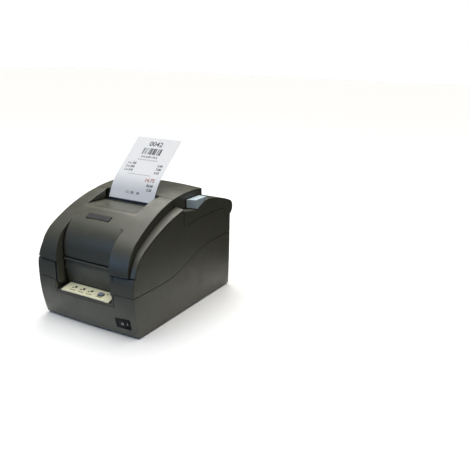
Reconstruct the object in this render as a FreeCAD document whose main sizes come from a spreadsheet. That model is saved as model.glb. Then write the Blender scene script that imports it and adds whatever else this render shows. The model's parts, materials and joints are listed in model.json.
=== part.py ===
"""Impact receipt printer: moulded shells, two hinged covers and the print mechanism inside.

Millimetres. X runs to the right, Y to the back and Z up. The origin is on the table, under the
middle of the case. Sizes live in the sheet, and every solid takes its sizes from it by expression.
"""
import FreeCAD, Part
import math
import os
import re
import Sketcher

SIZES = {
    # Outer case
    "case_width": 160.0,
    "case_length": 242.0,
    "foot_height": 2.0,
    "wall": 2.5,
    "seam_gap": 0.4,
    "front_gap": 1.2,
    "front_seam": 58.5,
    "rear_seam": 85.0,
    "wave_inset": 59.0,
    "wave_length": 130.0,
    "waist_height": 66.0,
    "front_lean_radius": 200.0,
    "side_lean_radius": 2000.0,
    "rear_overhang": 7.0,
    "rear_wall_drop": 13.5,
    # Leaning axis that gives the front its bow and the top its crown
    "crown_reach": 560.0,
    "crown_tilt": 40.0,
    "crown_sweep": 24.0,
    # Side bands of the front cover
    "band_step": 0.4,
    "rim_nose_radius": 52.0,
    "rim_nose_height": 74.3,
    "rim_sweep": 58.0,
    "rim_radius": 253.0,
    "cover_wall": 2.0,
    "cover_rise": 9.7,
    # Raised middle of both covers
    "shoulder_width": 14.0,
    "bulge_flare": 14.0,
    "bulge_nose_radius": 50.0,
    "bulge_nose_height": 87.4,
    "bulge_sweep": 56.86,
    "bulge_radius": 230.0,
    "bulge_end_inset": 70.0,
    "bulge_foot_inset": 64.0,
    # Where the covers meet
    "cover_split_inset": 107.0,
    "skirt_split_inset": 112.4,
    # Recess in the front and the scoop at the paper exit
    "recess_width": 87.0,
    "recess_top_inset": 36.0,
    "recess_inset": 14.4,
    "ledge_height": 87.0,
    "ledge_drop": 3.5,
    "ledge_depth": 1.6,
    "scoop_width": 85.0,
    "scoop_inset": 53.0,
    "scoop_front_z": 148.8,
    "scoop_floor": 147.6,
    "tear_gap": 0.35,
    "tear_width": 4.0,
    "tear_height": 4.0,
    "tear_thick": 0.8,
    # Control panel
    "panel_width": 80.0,
    "panel_front_inset": 2.8,
    "panel_back_inset": 21.4,
    "panel_front_z": 46.1,
    "panel_slope": 11.9,
    "panel_thick": 1.6,
    "panel_base": 2.4,
    "lamp_first": -23.8,
    "lamp_pitch": 13.6,
    "lamp_inset": 14.1,
    "lamp_radius": 1.6,
    "lamp_clearance": 0.2,
    "lamp_rise": 0.3,
    "feed_inset": 12.4,
    "feed_length": 9.0,
    "feed_width": 6.4,
    "feed_rise": 1.5,
    "feed_travel": 1.2,
    "feed_clearance": 0.25,
    "board_thick": 1.6,
    "board_drop": 8.5,
    # Power switch
    "switch_side": 21.5,
    "switch_height": 19.5,
    "switch_length": 22.0,
    "switch_width": 14.5,
    "switch_rim": 1.6,
    "switch_proud": 0.8,
    "switch_seat": 1.0,
    "switch_depth": 14.0,
    "rocker_gap": 0.35,
    "rocker_angle": 7.0,
    "rocker_rise": 2.2,
    "rocker_pin": 1.2,
    "rocker_sink": 2.5,
    # Front cover hinge
    "front_pivot_inset": 8.5,
    "front_pivot_z": 58.0,
    "cheek_thick": 2.5,
    "cheek_end": 5.5,
    "front_pin": 2.0,
    "pin_clearance": 0.05,
    "arc_slack": 0.0001,
    # Rear cover
    "barrel_radius": 11.8,
    "barrel_cut": 55.0,
    "hinge_rise": 36.6,
    "deck_rise": 26.0,
    "deck_top_inset": 85.8,
    "skirt_radius": 400.0,
    "skirt_rise": 3.8,
    "skirt_top_inset": 61.0,
    "knuckle_width": 5.6,
    "lug_thick": 3.4,
    "lug_end": 5.5,
    "rear_pin": 2.0,
    "pin_skin": 1.0,
    "notch_front_drop": 5.5,
    "notch_low_inset": 96.5,
    "notch_low_drop": 10.4,
    "notch_top_inset": 72.2,
    "notch_lean": 15.0,
    "lid_lip_drop": 14.0,
    # Cover lever and latch
    "lever_inner_inset": 105.5,
    "lever_outer_inset": 99.0,
    "lever_rise": 3.6,
    "lever_end": 2.2,
    "lever_side": 0.5,
    "lever_gap": 0.5,
    "latch_inset": 75.0,
    "latch_rise": 1.6,
    "latch_radius": 1.5,
    "hook_side": 8.0,
    "hook_thick": 3.0,
    "hook_width": 7.0,
    "hook_drop": 34.0,
    "post_radius": 2.5,
    "ear_side": 16.0,
    "ear_thick": 3.0,
    # Paper
    "paper_width": 76.0,
    "paper_thick": 0.3,
    "paper_inset": 100.4,
    "paper_lean": 66.0,
    "paper_bend_z": 147.0,
    "receipt_low": 139.5,
    "paper_bend": 12.0,
    "receipt_straight": 11.5,
    "receipt_lean": 42.0,
    "receipt_tail": 65.7,
    "receipt_bend": 60.0,
    "paper_gap": 0.35,
    "roll_slack": 2.0,
    "core_outer": 8.5,
    "core_inner": 6.5,
    "guide_radius": 5.8,
    "guide_z": 72.0,
    "bucket_rear_gap": 12.5,
    "bucket_z": 80.0,
    "bucket_margin": 16.175,
    "bucket_thick": 2.0,
    "roll_side_gap": 1.0,
    "roll_gap": 0.3,
    # Print mechanism
    "plate_x": 52.0,
    "plate_thick": 1.5,
    "plate_front_inset": 43.0,
    "plate_back_inset": 115.0,
    "plate_low": 20.5,
    "plate_top": 134.0,
    "shaft_radius": 3.0,
    "shaft_inset": 71.0,
    "shaft_z": 82.0,
    "rod_radius": 2.5,
    "rod_inset": 59.0,
    "running_gap": 0.05,
    "carriage_width": 24.0,
    "carriage_top": 95.0,
    "head_width": 20.0,
    "head_top": 113.0,
    "nose_width": 9.0,
    "nose_margin": 1.0,
    "fin_thick": 1.6,
    "belt_z": 86.0,
    "belt_inset": 48.0,
    "belt_width": 5.0,
    "belt_thick": 1.2,
    "pulley_radius": 6.0,
    "pulley_x": 36.0,
    "pulley_hub": 2.0,
    "motor_radius": 17.0,
    "motor_length": 20.0,
    "platen_low": 96.0,
    "platen_high": 108.5,
    "platen_depth": 7.0,
    "feed_axis_z": 126.0,
    "feed_radius": 6.4,
    "feed_shaft": 2.5,
    "tire_length": 18.0,
    "feed_motor_radius": 14.0,
    "feed_motor_length": 15.0,
    "pinch_radius": 6.2,
    "pinch_shaft": 2.0,
    "arm_thick": 3.0,
    "cassette_width": 92.0,
    "cassette_front_inset": 33.0,
    "cassette_back_inset": 71.0,
    "cassette_low": 116.0,
    "cassette_high": 131.0,
    "cassette_arm": 4.0,
    "ribbon_low": 99.0,
    "ribbon_high": 111.0,
    "ribbon_gap": 3.0,
    "knob_radius": 8.0,
    "knob_x": -28.0,
    "knob_inset": 49.0,
    "knob_stem": 2.5,
    "knob_height": 4.5,
    # Boards, ports, feet and screws
    "board_z": 9.0,
    "pillar_radius": 3.0,
    "port_z": 32.0,
    "port_depth": 12.0,
    "port_proud": 1.2,
    "port_wall": 1.5,
    "data_x": -30.0,
    "data_width": 42.0,
    "data_height": 11.0,
    "power_x": 14.0,
    "power_radius": 7.0,
    "drawer_x": 40.0,
    "drawer_width": 14.0,
    "foot_radius": 7.0,
    "foot_side": 22.0,
    "foot_front_inset": 33.0,
    "foot_back_inset": 29.0,
    "foot_sink": 1.0,
    "screw_side": 13.5,
    "screw_front_inset": 63.0,
    "screw_back_inset": 49.0,
    "screw_radius": 1.5,
    "screw_head": 2.8,
    "boss_radius": 4.0,
    "boss_height": 22.0,
}

# Lengths worked out from the driving sizes
NAMED = {
    "half": "case_width / 2",
    "front": "-case_length / 2",
    "back": "case_length / 2 - rear_overhang",
    "floor": "foot_height",
    "wave_start": "front + wave_inset",
    "recess_top_y": "front + recess_top_inset",
    "recess_back": "front + recess_inset",
    "scoop_front": "front + scoop_inset",
    "panel_front": "front + panel_front_inset",
    "feed_x": "panel_width / 4",
    "panel_back": "front + panel_back_inset",
    "lamp_y": "front + lamp_inset",
    "feed_y": "front + feed_inset",
    "front_pivot_y": "front + front_pivot_inset",
    "cover_split": "front + cover_split_inset",
    "skirt_split": "front + skirt_split_inset",
    "paper_y": "front + paper_inset",
    "plate_front": "front + plate_front_inset",
    "plate_back": "front + plate_back_inset",
    "shaft_y": "front + shaft_inset",
    "rod_y": "front + rod_inset",
    "belt_y": "front + belt_inset",
    "cassette_front": "front + cassette_front_inset",
    "cassette_back": "front + cassette_back_inset",
    "knob_y": "front + knob_inset",
    "foot_front": "front + foot_front_inset",
    "screw_front": "front + screw_front_inset",
    "bulge_end": "case_length / 2 - bulge_end_inset",
    "bulge_foot": "case_length / 2 - bulge_foot_inset",
    "deck_top_y": "case_length / 2 - deck_top_inset",
    "skirt_top_y": "case_length / 2 - skirt_top_inset",
    "notch_low_y": "case_length / 2 - notch_low_inset",
    "notch_top_y": "case_length / 2 - notch_top_inset",
    "lever_inner_y": "case_length / 2 - lever_inner_inset",
    "lever_outer_y": "case_length / 2 - lever_outer_inset",
    "latch_y": "case_length / 2 - latch_inset",
    "foot_back": "case_length / 2 - foot_back_inset",
    "screw_back": "case_length / 2 - screw_back_inset",
    "hinge_height": "bulge_nose_height + hinge_rise",
    "deck_top": "hinge_height + deck_rise",
    "skirt_top": "hinge_height + skirt_rise",
    "rear_wall_top": "hinge_height - rear_wall_drop",
    "notch_front_z": "deck_top - notch_front_drop",
    "notch_low_z": "deck_top - notch_low_drop",
    "latch_z": "deck_top + latch_rise",
    "lever_front_z": "deck_top + lever_rise",
    "bulge_width": "case_width - 2 * shoulder_width",
    "knuckle_inner": "half - knuckle_width",
    "screw_x": "half - screw_side",
    "foot_x": "half - foot_side",
    "switch_x": "half - switch_side",
    "hook_x": "bulge_width / 2 - hook_side",
    "ear_x": "bulge_width / 2 - ear_side",
    "cover_seam": "rim_nose_height + cover_rise",
    "paper_edge": "paper_y - paper_thick / 2 - tear_gap",
    "bucket_radius": "(back - wall - web_rear - 2 * guide_radius) / 2 - bucket_thick - bucket_margin",
    "bucket_y": "back - wall - bucket_radius - bucket_thick - bucket_rear_gap",
    "roll_radius": "bucket_radius - roll_slack",
    "far": "case_length",
    "rim_front": "front + band_step",
    "rim_y": "rim_front + rim_nose_radius + (rim_radius - rim_nose_radius) * cos(rim_sweep)",
    "rim_z": "rim_nose_height - (rim_radius - rim_nose_radius) * sin(rim_sweep)",
    "bulge_y": "front + bulge_nose_radius + (bulge_radius - bulge_nose_radius) * cos(bulge_sweep)",
    "bulge_z": "bulge_nose_height - (bulge_radius - bulge_nose_radius) * sin(bulge_sweep)",
    "recess_lean": "(bulge_y - recess_top_y) / bulge_radius",
    "recess_rise": "sqrt(1 - recess_lean^2)",
    "recess_bend": "(recess_top_y - recess_back) / (1 - recess_lean)",
    "recess_mid_y": "recess_back + recess_bend",
    "recess_mid_z": "bulge_z + (bulge_radius - recess_bend) * recess_rise",
    "hinge_y": "case_length / 2 - barrel_radius",
    "deck_z": "((deck_top - barrel_radius)^2 - hinge_height^2 - (hinge_y - deck_top_y)^2)"
              " / (2 * (deck_top - barrel_radius - hinge_height))",
    "deck_radius": "deck_top - deck_z",
    "wave_rise": "rear_seam - front_seam",
    "wave_radius": "(wave_length^2 + wave_rise^2) / (4 * wave_rise)",
    "recess_half": "recess_width / 2",
    "cheek_out": "recess_half + cheek_thick",
    "pocket_half": "cheek_out + seam_gap",
    "panel_back_z": "panel_front_z + (panel_back - panel_front) * tan(panel_slope)",
    "inner": "half - wall",
    "paper_half": "paper_width / 2",
    "web_front": "paper_y - paper_thick / 2",
    "web_rear": "paper_y + paper_thick / 2",
    "feed_axis_y": "web_front - paper_gap - feed_radius",
    "pinch_axis_y": "web_rear + paper_gap + pinch_radius",
    "plate_in": "plate_x - plate_thick / 2",
    "plate_out": "plate_x + plate_thick / 2",
    "roll_z": "bucket_z - bucket_radius + roll_radius + roll_gap",
    "guide_y": "web_rear + guide_radius",
    "span_y": "bucket_y - guide_y",
    "span_z": "roll_z - guide_z",
    "web_sum": "guide_radius + roll_radius + paper_gap + paper_thick",
    "web_angle": "atan2(span_z; span_y) + asin(web_sum / sqrt(span_y^2 + span_z^2))",
    "belt_top": "belt_z + pulley_radius + belt_thick",
    "switch_lean": "asin((waist_height - switch_height) / front_lean_radius)",
    "belt_front": "belt_y - belt_width / 2",
    "belt_back": "belt_y + belt_width / 2",
    "flange_front": "plate_front - plate_thick",
}

DOC = FreeCAD.newDocument("receipt_printer")
SHEET = DOC.addObject("Spreadsheet::Sheet", "sizes")
PARTS = []
VECTOR = FreeCAD.Vector
TURNS = {
    "yz": FreeCAD.Rotation(VECTOR(1, 1, 1), 120),
    "xz": FreeCAD.Rotation(VECTOR(1, 0, 0), 90),
    "xy": FreeCAD.Rotation(),
}
ROD_TURNS = {
    "x": FreeCAD.Rotation(VECTOR(0, 1, 0), 90),
    "y": FreeCAD.Rotation(VECTOR(1, 0, 0), -90),
    "z": FreeCAD.Rotation(),
}


def fill_sheet():
    """Write every driving size to the sheet, with its name as alias."""
    for row, (name, size) in enumerate(SIZES.items(), start=1):
        SHEET.set(f"A{row}", name)
        SHEET.set(f"B{row}", str(size))
        SHEET.setAlias(f"B{row}", name)
    DOC.recompute()


def expand(text):
    """Turn size names in an expression into cells of the sheet."""
    def swap(match):
        word = match.group()
        if word in NAMED:
            return f"({expand(NAMED[word])})"
        return f"sizes.{word}" if word in SIZES else word
    return re.sub(r"[a-z_]+[a-z0-9_]*", swap, str(text))


def value(text):
    """The number that an expression gives with the sheet as it stands."""
    result = SHEET.evalExpression(expand(text))
    return float(getattr(result, "Value", result))


def bind(thing, prop, text):
    """Tie a property to an expression on the sheet."""
    thing.setExpression(prop, expand(text))


def box(name, x, y, z):
    """A block between pairs of coordinates."""
    solid = DOC.addObject("Part::Box", name)
    for size, axis, (low, high) in zip(("Length", "Width", "Height"), "xyz", (x, y, z)):
        bind(solid, size, f"({high}) - ({low})")
        bind(solid, f"Placement.Base.{axis}", low)
    return solid


def rod(name, axis, radius, ends, at):
    """A cylinder along an axis; at holds its two other coordinates in order."""
    solid = DOC.addObject("Part::Cylinder", name)
    solid.Placement = FreeCAD.Placement(VECTOR(), ROD_TURNS[axis])
    bind(solid, "Radius", radius)
    bind(solid, "Height", f"({ends[1]}) - ({ends[0]})")
    bind(solid, f"Placement.Base.{axis}", ends[0])
    for other, place in zip([letter for letter in "xyz" if letter != axis], at):
        bind(solid, f"Placement.Base.{other}", place)
    return solid


def outline(name, plane, points):
    """A closed sketch; a third entry of a point is the radius of the arc that leaves it.

    A positive radius turns left and a negative one turns right.
    """
    sketch = DOC.addObject("Sketcher::SketchObject", name)
    sketch.Placement = FreeCAD.Placement(VECTOR(), TURNS[plane])
    places = [VECTOR(value(point[0]), value(point[1]), 0) for point in points]
    shapes, starts = [], []
    for index, point in enumerate(points):
        start, end = places[index], places[(index + 1) % len(points)]
        if len(point) == 2:
            shapes.append(Part.LineSegment(start, end))
            starts.append(1)
            continue
        radius = value(point[2])
        chord = end - start
        reach = math.sqrt(max(radius**2 - (chord.Length / 2) ** 2, 0.0))
        side = VECTOR(-chord.y, chord.x, 0).normalize() * math.copysign(reach, radius)
        centre = (start + end) * 0.5 + side
        first, last = (start, end) if radius > 0 else (end, start)
        angles = [math.atan2(spot.y - centre.y, spot.x - centre.x) for spot in (first, last)]
        circle = Part.Circle(centre, VECTOR(0, 0, 1), abs(radius))
        shapes.append(Part.ArcOfCircle(circle, angles[0], angles[1]))
        starts.append(1 if radius > 0 else 2)
    sketch.addGeometry(shapes, False)
    rules, texts = [], []
    for index, point in enumerate(points):
        after = (index + 1) % len(points)
        rules.append(Sketcher.Constraint("Coincident", index, 3 - starts[index], after, starts[after]))
        texts.append(None)
        for kind, text, size in zip(("DistanceX", "DistanceY"), point, places[index]):
            rules.append(Sketcher.Constraint(kind, index, starts[index], size))
            texts.append(text)
        if len(point) == 3:
            rules.append(Sketcher.Constraint("Radius", index, abs(value(point[2]))))
            texts.append(f"abs({point[2]})")
    sketch.addConstraint(rules)
    for index, text in enumerate(texts):
        if text is not None:
            bind(sketch, f"Constraints[{index}]", text)
    return sketch


def prism(name, plane, points, ends):
    """An outline drawn out along the axis square to its plane, between two coordinates."""
    solid = DOC.addObject("Part::Extrusion", name)
    solid.Base = outline(f"{name}_outline", plane, points)
    solid.DirMode = "Normal"
    solid.Solid = True
    low, high = ends
    forward, reverse = (f"-({low})", high) if plane == "xz" else (high, f"-({low})")
    bind(solid, "LengthFwd", forward)
    bind(solid, "LengthRev", reverse)
    return solid


def crowned(name, points):
    """A side outline turned about the leaning far axis, which bows the front and crowns the top."""
    solid = DOC.addObject("Part::Revolution", name)
    solid.Source = outline(f"{name}_outline", "yz", points)
    solid.Solid = True
    solid.Symmetric = True
    bind(solid, "Axis.x", "0")
    bind(solid, "Axis.y", "cos(crown_tilt)")
    bind(solid, "Axis.z", "sin(crown_tilt)")
    bind(solid, "Base.y", "front + crown_reach * sin(crown_tilt)")
    bind(solid, "Base.z", "rim_nose_height - crown_reach * cos(crown_tilt)")
    bind(solid, "Angle", "crown_sweep")
    return solid


def fuse(name, *solids):
    """One solid from several."""
    joined = DOC.addObject("Part::MultiFuse", name)
    joined.Shapes = list(solids)
    return joined


def common(name, *solids):
    """What several solids share."""
    shared = DOC.addObject("Part::MultiCommon", name)
    shared.Shapes = list(solids)
    return shared


def cut(name, base, *tools):
    """A solid less one or more others."""
    rest = DOC.addObject("Part::Cut", name)
    rest.Base = base
    rest.Tool = tools[0] if len(tools) == 1 else fuse(f"{name}_tools", *tools)
    return rest


def mirrored(name, solid):
    """The same solid on the other side of the middle plane."""
    other = DOC.addObject("Part::Mirroring", name)
    other.Source = solid
    other.Normal = VECTOR(1, 0, 0)
    return other


def both(name, solid):
    """A solid and its mirror image, fused."""
    return fuse(name, solid, mirrored(f"{name}_left", solid))


def group(name, *solids):
    """Separate solids that share one node."""
    bundle = DOC.addObject("Part::Compound", name)
    bundle.Links = list(solids)
    return bundle


def part(label, solid):
    """Name a finished sub-part."""
    solid.Label = label
    PARTS.append(solid)
    return solid


def rim_points(inset, low, end):
    """Side outline under the band of the front cover, moved inwards by inset."""
    nose = f"(rim_nose_radius - ({inset}))"
    sweep = f"(rim_radius - ({inset}))"
    return [
        (f"rim_front + {inset}", low),
        (f"rim_front + {inset}", "rim_nose_height", f"-{nose}"),
        (f"rim_front + rim_nose_radius - {nose} * cos(rim_sweep)",
         f"rim_nose_height + {nose} * sin(rim_sweep)", f"-{sweep}"),
        (end, f"rim_z + sqrt({sweep}^2 - ({end} - rim_y)^2)"),
        (end, low),
    ]


def bulge_points(inset, low, end):
    """Side outline under the raised middle, moved inwards by inset."""
    nose = f"(bulge_nose_radius - ({inset}))"
    sweep = f"(bulge_radius - ({inset}))"
    return [
        (f"front + {inset}", low),
        (f"front + {inset}", "bulge_nose_height", f"-{nose}"),
        (f"front + bulge_nose_radius - {nose} * cos(bulge_sweep)",
         f"bulge_nose_height + {nose} * sin(bulge_sweep)", f"-{sweep}"),
        (end, f"bulge_z + sqrt({sweep}^2 - ({end} - bulge_y)^2)"),
        (end, low),
    ]


def base_points(inset, low):
    """Side outline of the lower case's leaning front, moved inwards by inset."""
    lean = f"(front_lean_radius - ({inset}))"
    reach = f"sqrt({lean}^2 - (waist_height - ({low}))^2)"
    return [
        (f"rim_front + front_lean_radius - {reach}", low, f"-{lean}"),
        (f"rim_front + {inset}", "waist_height"),
        (f"rim_front + {inset}", "rear_seam + wall"),
        ("wave_start + wall", "rear_seam + wall"),
        ("wave_start + wall", low),
    ]


def base_block(name, inset, low):
    """The space inside the lower case's outer walls, moved inwards by inset."""
    lean = f"(side_lean_radius - ({inset}))"
    foot = f"half - side_lean_radius + sqrt({lean}^2 - (waist_height - ({low}))^2)"
    side = f"half - ({inset})"
    top = "rear_seam + 2 * wall"
    section = prism(f"{name}_section", "xz", [
        (f"-({foot})", low),
        (foot, low, lean),
        (side, "waist_height"),
        (side, top),
        (f"-({side})", top),
        (f"-({side})", "waist_height", lean),
    ], ("-far", "far"))
    nose = crowned(f"{name}_nose", base_points(inset, low))
    tail = box(f"{name}_tail", ("-half", "half"), ("wave_start - foot_radius", f"back - ({inset})"),
               (low, top))
    return common(name, fuse(f"{name}_length", nose, tail), section)


def seam_points(gap, limit):
    """Side outline from the wavy seam, raised by gap, to a height above or below it."""
    low, high = f"front_seam + {gap}", f"rear_seam + {gap}"
    return [
        ("-far", low),
        ("wave_start", low, "wave_radius"),
        ("wave_start + wave_length / 2", f"({low} + {high}) / 2", "-wave_radius"),
        ("wave_start + wave_length", high),
        ("far", high),
        ("far", limit),
        ("-far", limit),
    ]


def pocket_points(inset):
    """Side outline of the front recess below the cover, grown by inset at floor and back."""
    drop = f"((panel_thick + {inset}) / cos(panel_slope))"
    foot = f"panel_back + {inset}"
    return [
        ("-far", f"panel_front_z - {drop} - (far + panel_front) * tan(panel_slope)"),
        (foot, f"panel_back_z - {drop} + ({inset}) * tan(panel_slope)"),
        (foot, "panel_back_z + wall"),
        (f"recess_back + ledge_depth + {inset}", "ledge_height - 3 * ledge_drop"),
        (f"recess_back + ledge_depth + {inset}", "ledge_height"),
        ("-far", "ledge_height"),
    ]


def ledge():
    """Rounded ledge along the top of the recess's back wall."""
    low = "ledge_height - ledge_drop"
    return prism("ledge", "yz", [
        ("recess_back + 2 * ledge_depth", low),
        ("recess_back + 2 * ledge_depth", "ledge_height"),
        ("recess_back + ledge_depth", "ledge_height", "ledge_drop"),
        ("recess_back + ledge_depth", low),
    ], ("seam_gap - recess_half", "recess_half - seam_gap"))


def skirt_points(gap, limit):
    """Side outline from the rear cover's lower edge, lowered by gap, to a height above it."""
    def edge(place):
        return f"skirt_top - skirt_radius - {gap} + sqrt(skirt_radius^2 - ({place} - skirt_top_y)^2)"
    start, end = f"skirt_split - {gap}", "hinge_y"
    return [
        (start, limit),
        (start, edge(start), "-skirt_radius"),
        (end, edge(end)),
        ("far", edge(end)),
        ("far", limit),
    ]


def make_lower_case():
    """Open tub with leaning front and sides, screw posts and the opening for the ports."""
    shell = cut("tub", base_block("tub_outer", "0", "floor"),
                base_block("tub_inner", "wall", "floor + wall"))
    above = prism("tub_above", "yz", seam_points("0", "2 * far"), ("-far", "far"))
    pocket = prism("tub_pocket", "yz", pocket_points("panel_base + seam_gap"),
                   ("-pocket_half - wall - seam_gap", "pocket_half + wall + seam_gap"))
    ports = port_bodies("tub", ("back - 2 * wall", "far"))
    seat = switch_block("tub_seat", "switch_length / 2", "switch_width / 2", ("-switch_seat", "2 * wall"))
    switch = switch_block("tub_switch", "switch_length / 2 - switch_rim / 2",
                          "switch_width / 2 - switch_rim / 2",
                          ("-switch_depth - wall", "2 * wall"))
    posts, holes = [], []
    for side in ("-", ""):
        for end in ("screw_front", "screw_back"):
            tag = f"{'left' if side else 'right'}_{end}"
            at = (f"{side}screw_x", end)
            posts.append(rod(f"post_{tag}", "z", "boss_radius", ("floor + wall / 2", "boss_height"), at))
            holes.append(rod(f"hole_{tag}", "z", "screw_radius + pin_clearance",
                             ("0", "boss_height + wall"), at))
            holes.append(rod(f"sink_{tag}", "z", "screw_head + pin_clearance", ("0", "floor + wall"), at))
    for side in ("-", ""):
        for end in ("foot_front", "foot_back"):
            tag = f"{'left' if side else 'right'}_{end}"
            holes.append(rod(f"cup_{tag}", "z", "foot_radius", ("0", "floor + foot_sink"),
                             (f"{side}foot_x", end)))
    stands = []
    for side in ("-", ""):
        for end in ("plate_front + boss_radius", "plate_back - boss_radius"):
            tag = f"{'left' if side else 'right'}_{len(stands)}"
            stands.append(rod(f"stand_{tag}", "z", "boss_radius", ("floor + wall / 2", "plate_low"),
                              (f"{side}(plate_x - 2 * boss_radius)", end)))
    pillars = []
    for side in ("-", ""):
        for end in ("plate_front + 4 * boss_radius", "plate_back - 4 * boss_radius"):
            tag = f"{'left' if side else 'right'}_{len(pillars)}"
            pillars.append(rod(f"pillar_{tag}", "z", "pillar_radius", ("floor + wall / 2", "board_z"),
                               (f"{side}plate_x / 2", end)))
    body = fuse("tub_posts", shell, *posts, *stands, *pillars)
    return part("lower_case", cut("lower_case", body, above, pocket, *ports, seat, switch, *holes))


def make_upper_case():
    """Middle shell: side walls, the strip under the front cover, the front recess and hinge lugs."""
    lift = "cover_wall + seam_gap"
    flush = cut("mid_flush", crowned("mid_flush_turn", rim_points("0", "front_seam - wall", "wave_start")),
                box("mid_flush_top", ("-far", "far"), ("-far", "far"), ("cover_seam - front_gap", "far")))
    inset = crowned("mid_rim", rim_points(lift, "front_seam - wall", "skirt_split - seam_gap"))
    nose = common("mid_nose", fuse("mid_nose_whole", flush, inset),
                  box("mid_width", ("-half", "half"), ("-far", "far"), ("0", "far")))
    tail = box("mid_tail", ("-half", "half"), ("skirt_split - 2 * wall", "back"),
               ("front_seam - wall", "skirt_top"))
    hollow_nose = crowned("mid_hollow_nose", [
        ("rim_front + wall", "front_seam - 2 * wall"),
        ("rim_front + wall", "far"),
        ("wave_start", "far"),
        ("wave_start", "front_seam - 2 * wall"),
    ])
    hollow = fuse("mid_hollow",
                  common("mid_hollow_front", hollow_nose,
                         box("mid_hollow_width", ("-inner", "inner"), ("-far", "far"), ("0", "far"))),
                  box("mid_hollow_back", ("-inner", "inner"), ("wave_start - wall", "back - wall"),
                      ("0", "far")))
    skirt = prism("mid_skirt", "yz", skirt_points("seam_gap", "2 * far"), ("-far", "far"))
    barrel = rod("mid_barrel", "x", "barrel_radius + seam_gap", ("-far", "far"),
                 ("hinge_y", "hinge_height"))
    rear_top = box("mid_rear_top", ("-inner", "inner"), ("back - 2 * wall", "far"),
                   ("rear_wall_top", "far"))
    strip = box("mid_strip", ("-inner", "inner"), ("-far", "rim_front + rim_nose_radius"),
                ("cover_seam - front_gap", "far"))
    walls = cut("mid_walls", fuse("mid_outer", nose, tail), hollow, skirt, barrel, rear_top, strip)
    below = prism("mid_below", "yz", seam_points("seam_gap", "-far"), ("-far", "far"))
    above_seam = cut("mid_above_seam", walls, below)
    envelope = common("pocket_envelope",
                      fuse("pocket_envelope_whole", base_block("pocket_base", "0", "floor"),
                           crowned("pocket_rim", rim_points("0", "front_seam - wall", "wave_start"))),
                      box("pocket_box", ("-pocket_half - wall", "pocket_half + wall"), ("-far", "far"),
                          ("floor", "ledge_height")))
    pocket_outer = common("pocket_outer",
                          prism("pocket_grown", "yz", pocket_points("panel_base"),
                                ("-pocket_half - wall", "pocket_half + wall")), envelope)
    pocket_hole = prism("pocket_hole", "yz", pocket_points("0"), ("-pocket_half", "pocket_half"))
    strip_gap = box("pocket_top", ("-pocket_half - 2 * wall", "pocket_half + 2 * wall"),
                    ("-far", "recess_back - wall"),
                    ("cover_seam - front_gap", "far"))
    lugs = both("rear_lugs", prism("rear_lug", "yz", [
        ("hinge_y - lug_end", "rear_seam + 2 * wall"),
        ("back - wall / 2", "rear_seam + 2 * wall"),
        ("back - wall / 2", "rear_wall_top - wall"),
        ("hinge_y + lug_end", "hinge_height", "lug_end + arc_slack"),
        ("hinge_y - lug_end", "hinge_height"),
    ], ("knuckle_inner - seam_gap - lug_thick", "knuckle_inner - seam_gap")))
    bosses = []
    for side in ("-", ""):
        for end, low in (("screw_front", "front_seam + 2 * wall"), ("screw_back", "rear_seam + 2 * wall")):
            tag = f"{'left' if side else 'right'}_{end}"
            bosses.append(rod(f"boss_{tag}", "z", "boss_radius", ("boss_height", f"{low} + 2 * wall"),
                              (f"{side}screw_x", end)))
            ends = ("screw_x", "half - wall / 2")
            if side:
                ends = ("wall / 2 - half", "-screw_x")
            bosses.append(box(f"web_{tag}", ends, (f"{end} - wall", f"{end} + wall"),
                              (low, f"{low} + 2 * wall")))
    holes = []
    for side in ("-", ""):
        for end in ("screw_front", "screw_back"):
            tag = f"{'left' if side else 'right'}_{end}"
            holes.append(rod(f"thread_{tag}", "z", "screw_radius", ("0", "boss_height + 4 * boss_radius"),
                             (f"{side}screw_x", end)))
    body = fuse("mid_body", above_seam, pocket_outer, lugs, *bosses)
    pins = [
        rod("front_pin_hole", "x", "front_pin", ("-far", "far"), ("front_pivot_y", "front_pivot_z")),
        rod("rear_pin_hole", "x", "rear_pin", ("-knuckle_inner", "knuckle_inner"),
            ("hinge_y", "hinge_height")),
        rod("post_hole", "x", "post_radius", ("-half + wall / 2", "half - wall / 2"),
            ("latch_y + hook_width", "latch_z - hook_drop")),
    ]
    button = feed_prism("mid_button", "3 * feed_clearance", ("-2 * board_drop", "2 * board_drop"))
    lamps = [lamp_rod(f"mid_lamp_{index}", index, "lamp_radius + lamp_clearance", ("-2 * board_drop", "0"))
             for index in range(3)]
    opened = cut("mid_open", body, pocket_hole, strip_gap, button, *lamps, *holes, *pins)
    return part("upper_case", fuse("upper_case", opened, ledge(), *post_bosses(), *board_bosses()))


def post_bosses():
    """Round bosses inside the side walls that carry the latch posts."""
    at = ("latch_y + hook_width", "latch_z - hook_drop")
    boss = cut("post_boss",
               rod("post_boss_body", "x", "2 * post_radius", ("inner - 2 * wall", "inner + wall / 2"),
                   at),
               rod("post_boss_bore", "x", "post_radius", ("0", "inner + wall / 4"), at))
    return [boss, mirrored("post_boss_left", boss)]


def panel_height(place):
    """Height of the panel's top face at a Y coordinate."""
    return f"panel_front_z + ({place} - panel_front) * tan(panel_slope)"


def lamp_rod(name, index, radius, ends):
    """A rod square to the panel at one lamp; ends are heights over the panel's face."""
    low, high = ends
    solid = DOC.addObject("Part::Cylinder", name)
    solid.Placement = FreeCAD.Placement(VECTOR(), FreeCAD.Rotation(VECTOR(1, 0, 0), 1))
    bind(solid, "Radius", radius)
    bind(solid, "Height", f"({high}) - ({low})")
    bind(solid, "Placement.Base.x", f"lamp_first + {index} * lamp_pitch")
    bind(solid, "Placement.Base.y", f"lamp_y - ({low}) * sin(panel_slope)")
    bind(solid, "Placement.Base.z", f"{panel_height('lamp_y')} + ({low}) * cos(panel_slope)")
    bind(solid, "Placement.Rotation.Angle", "panel_slope")
    return solid


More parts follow.
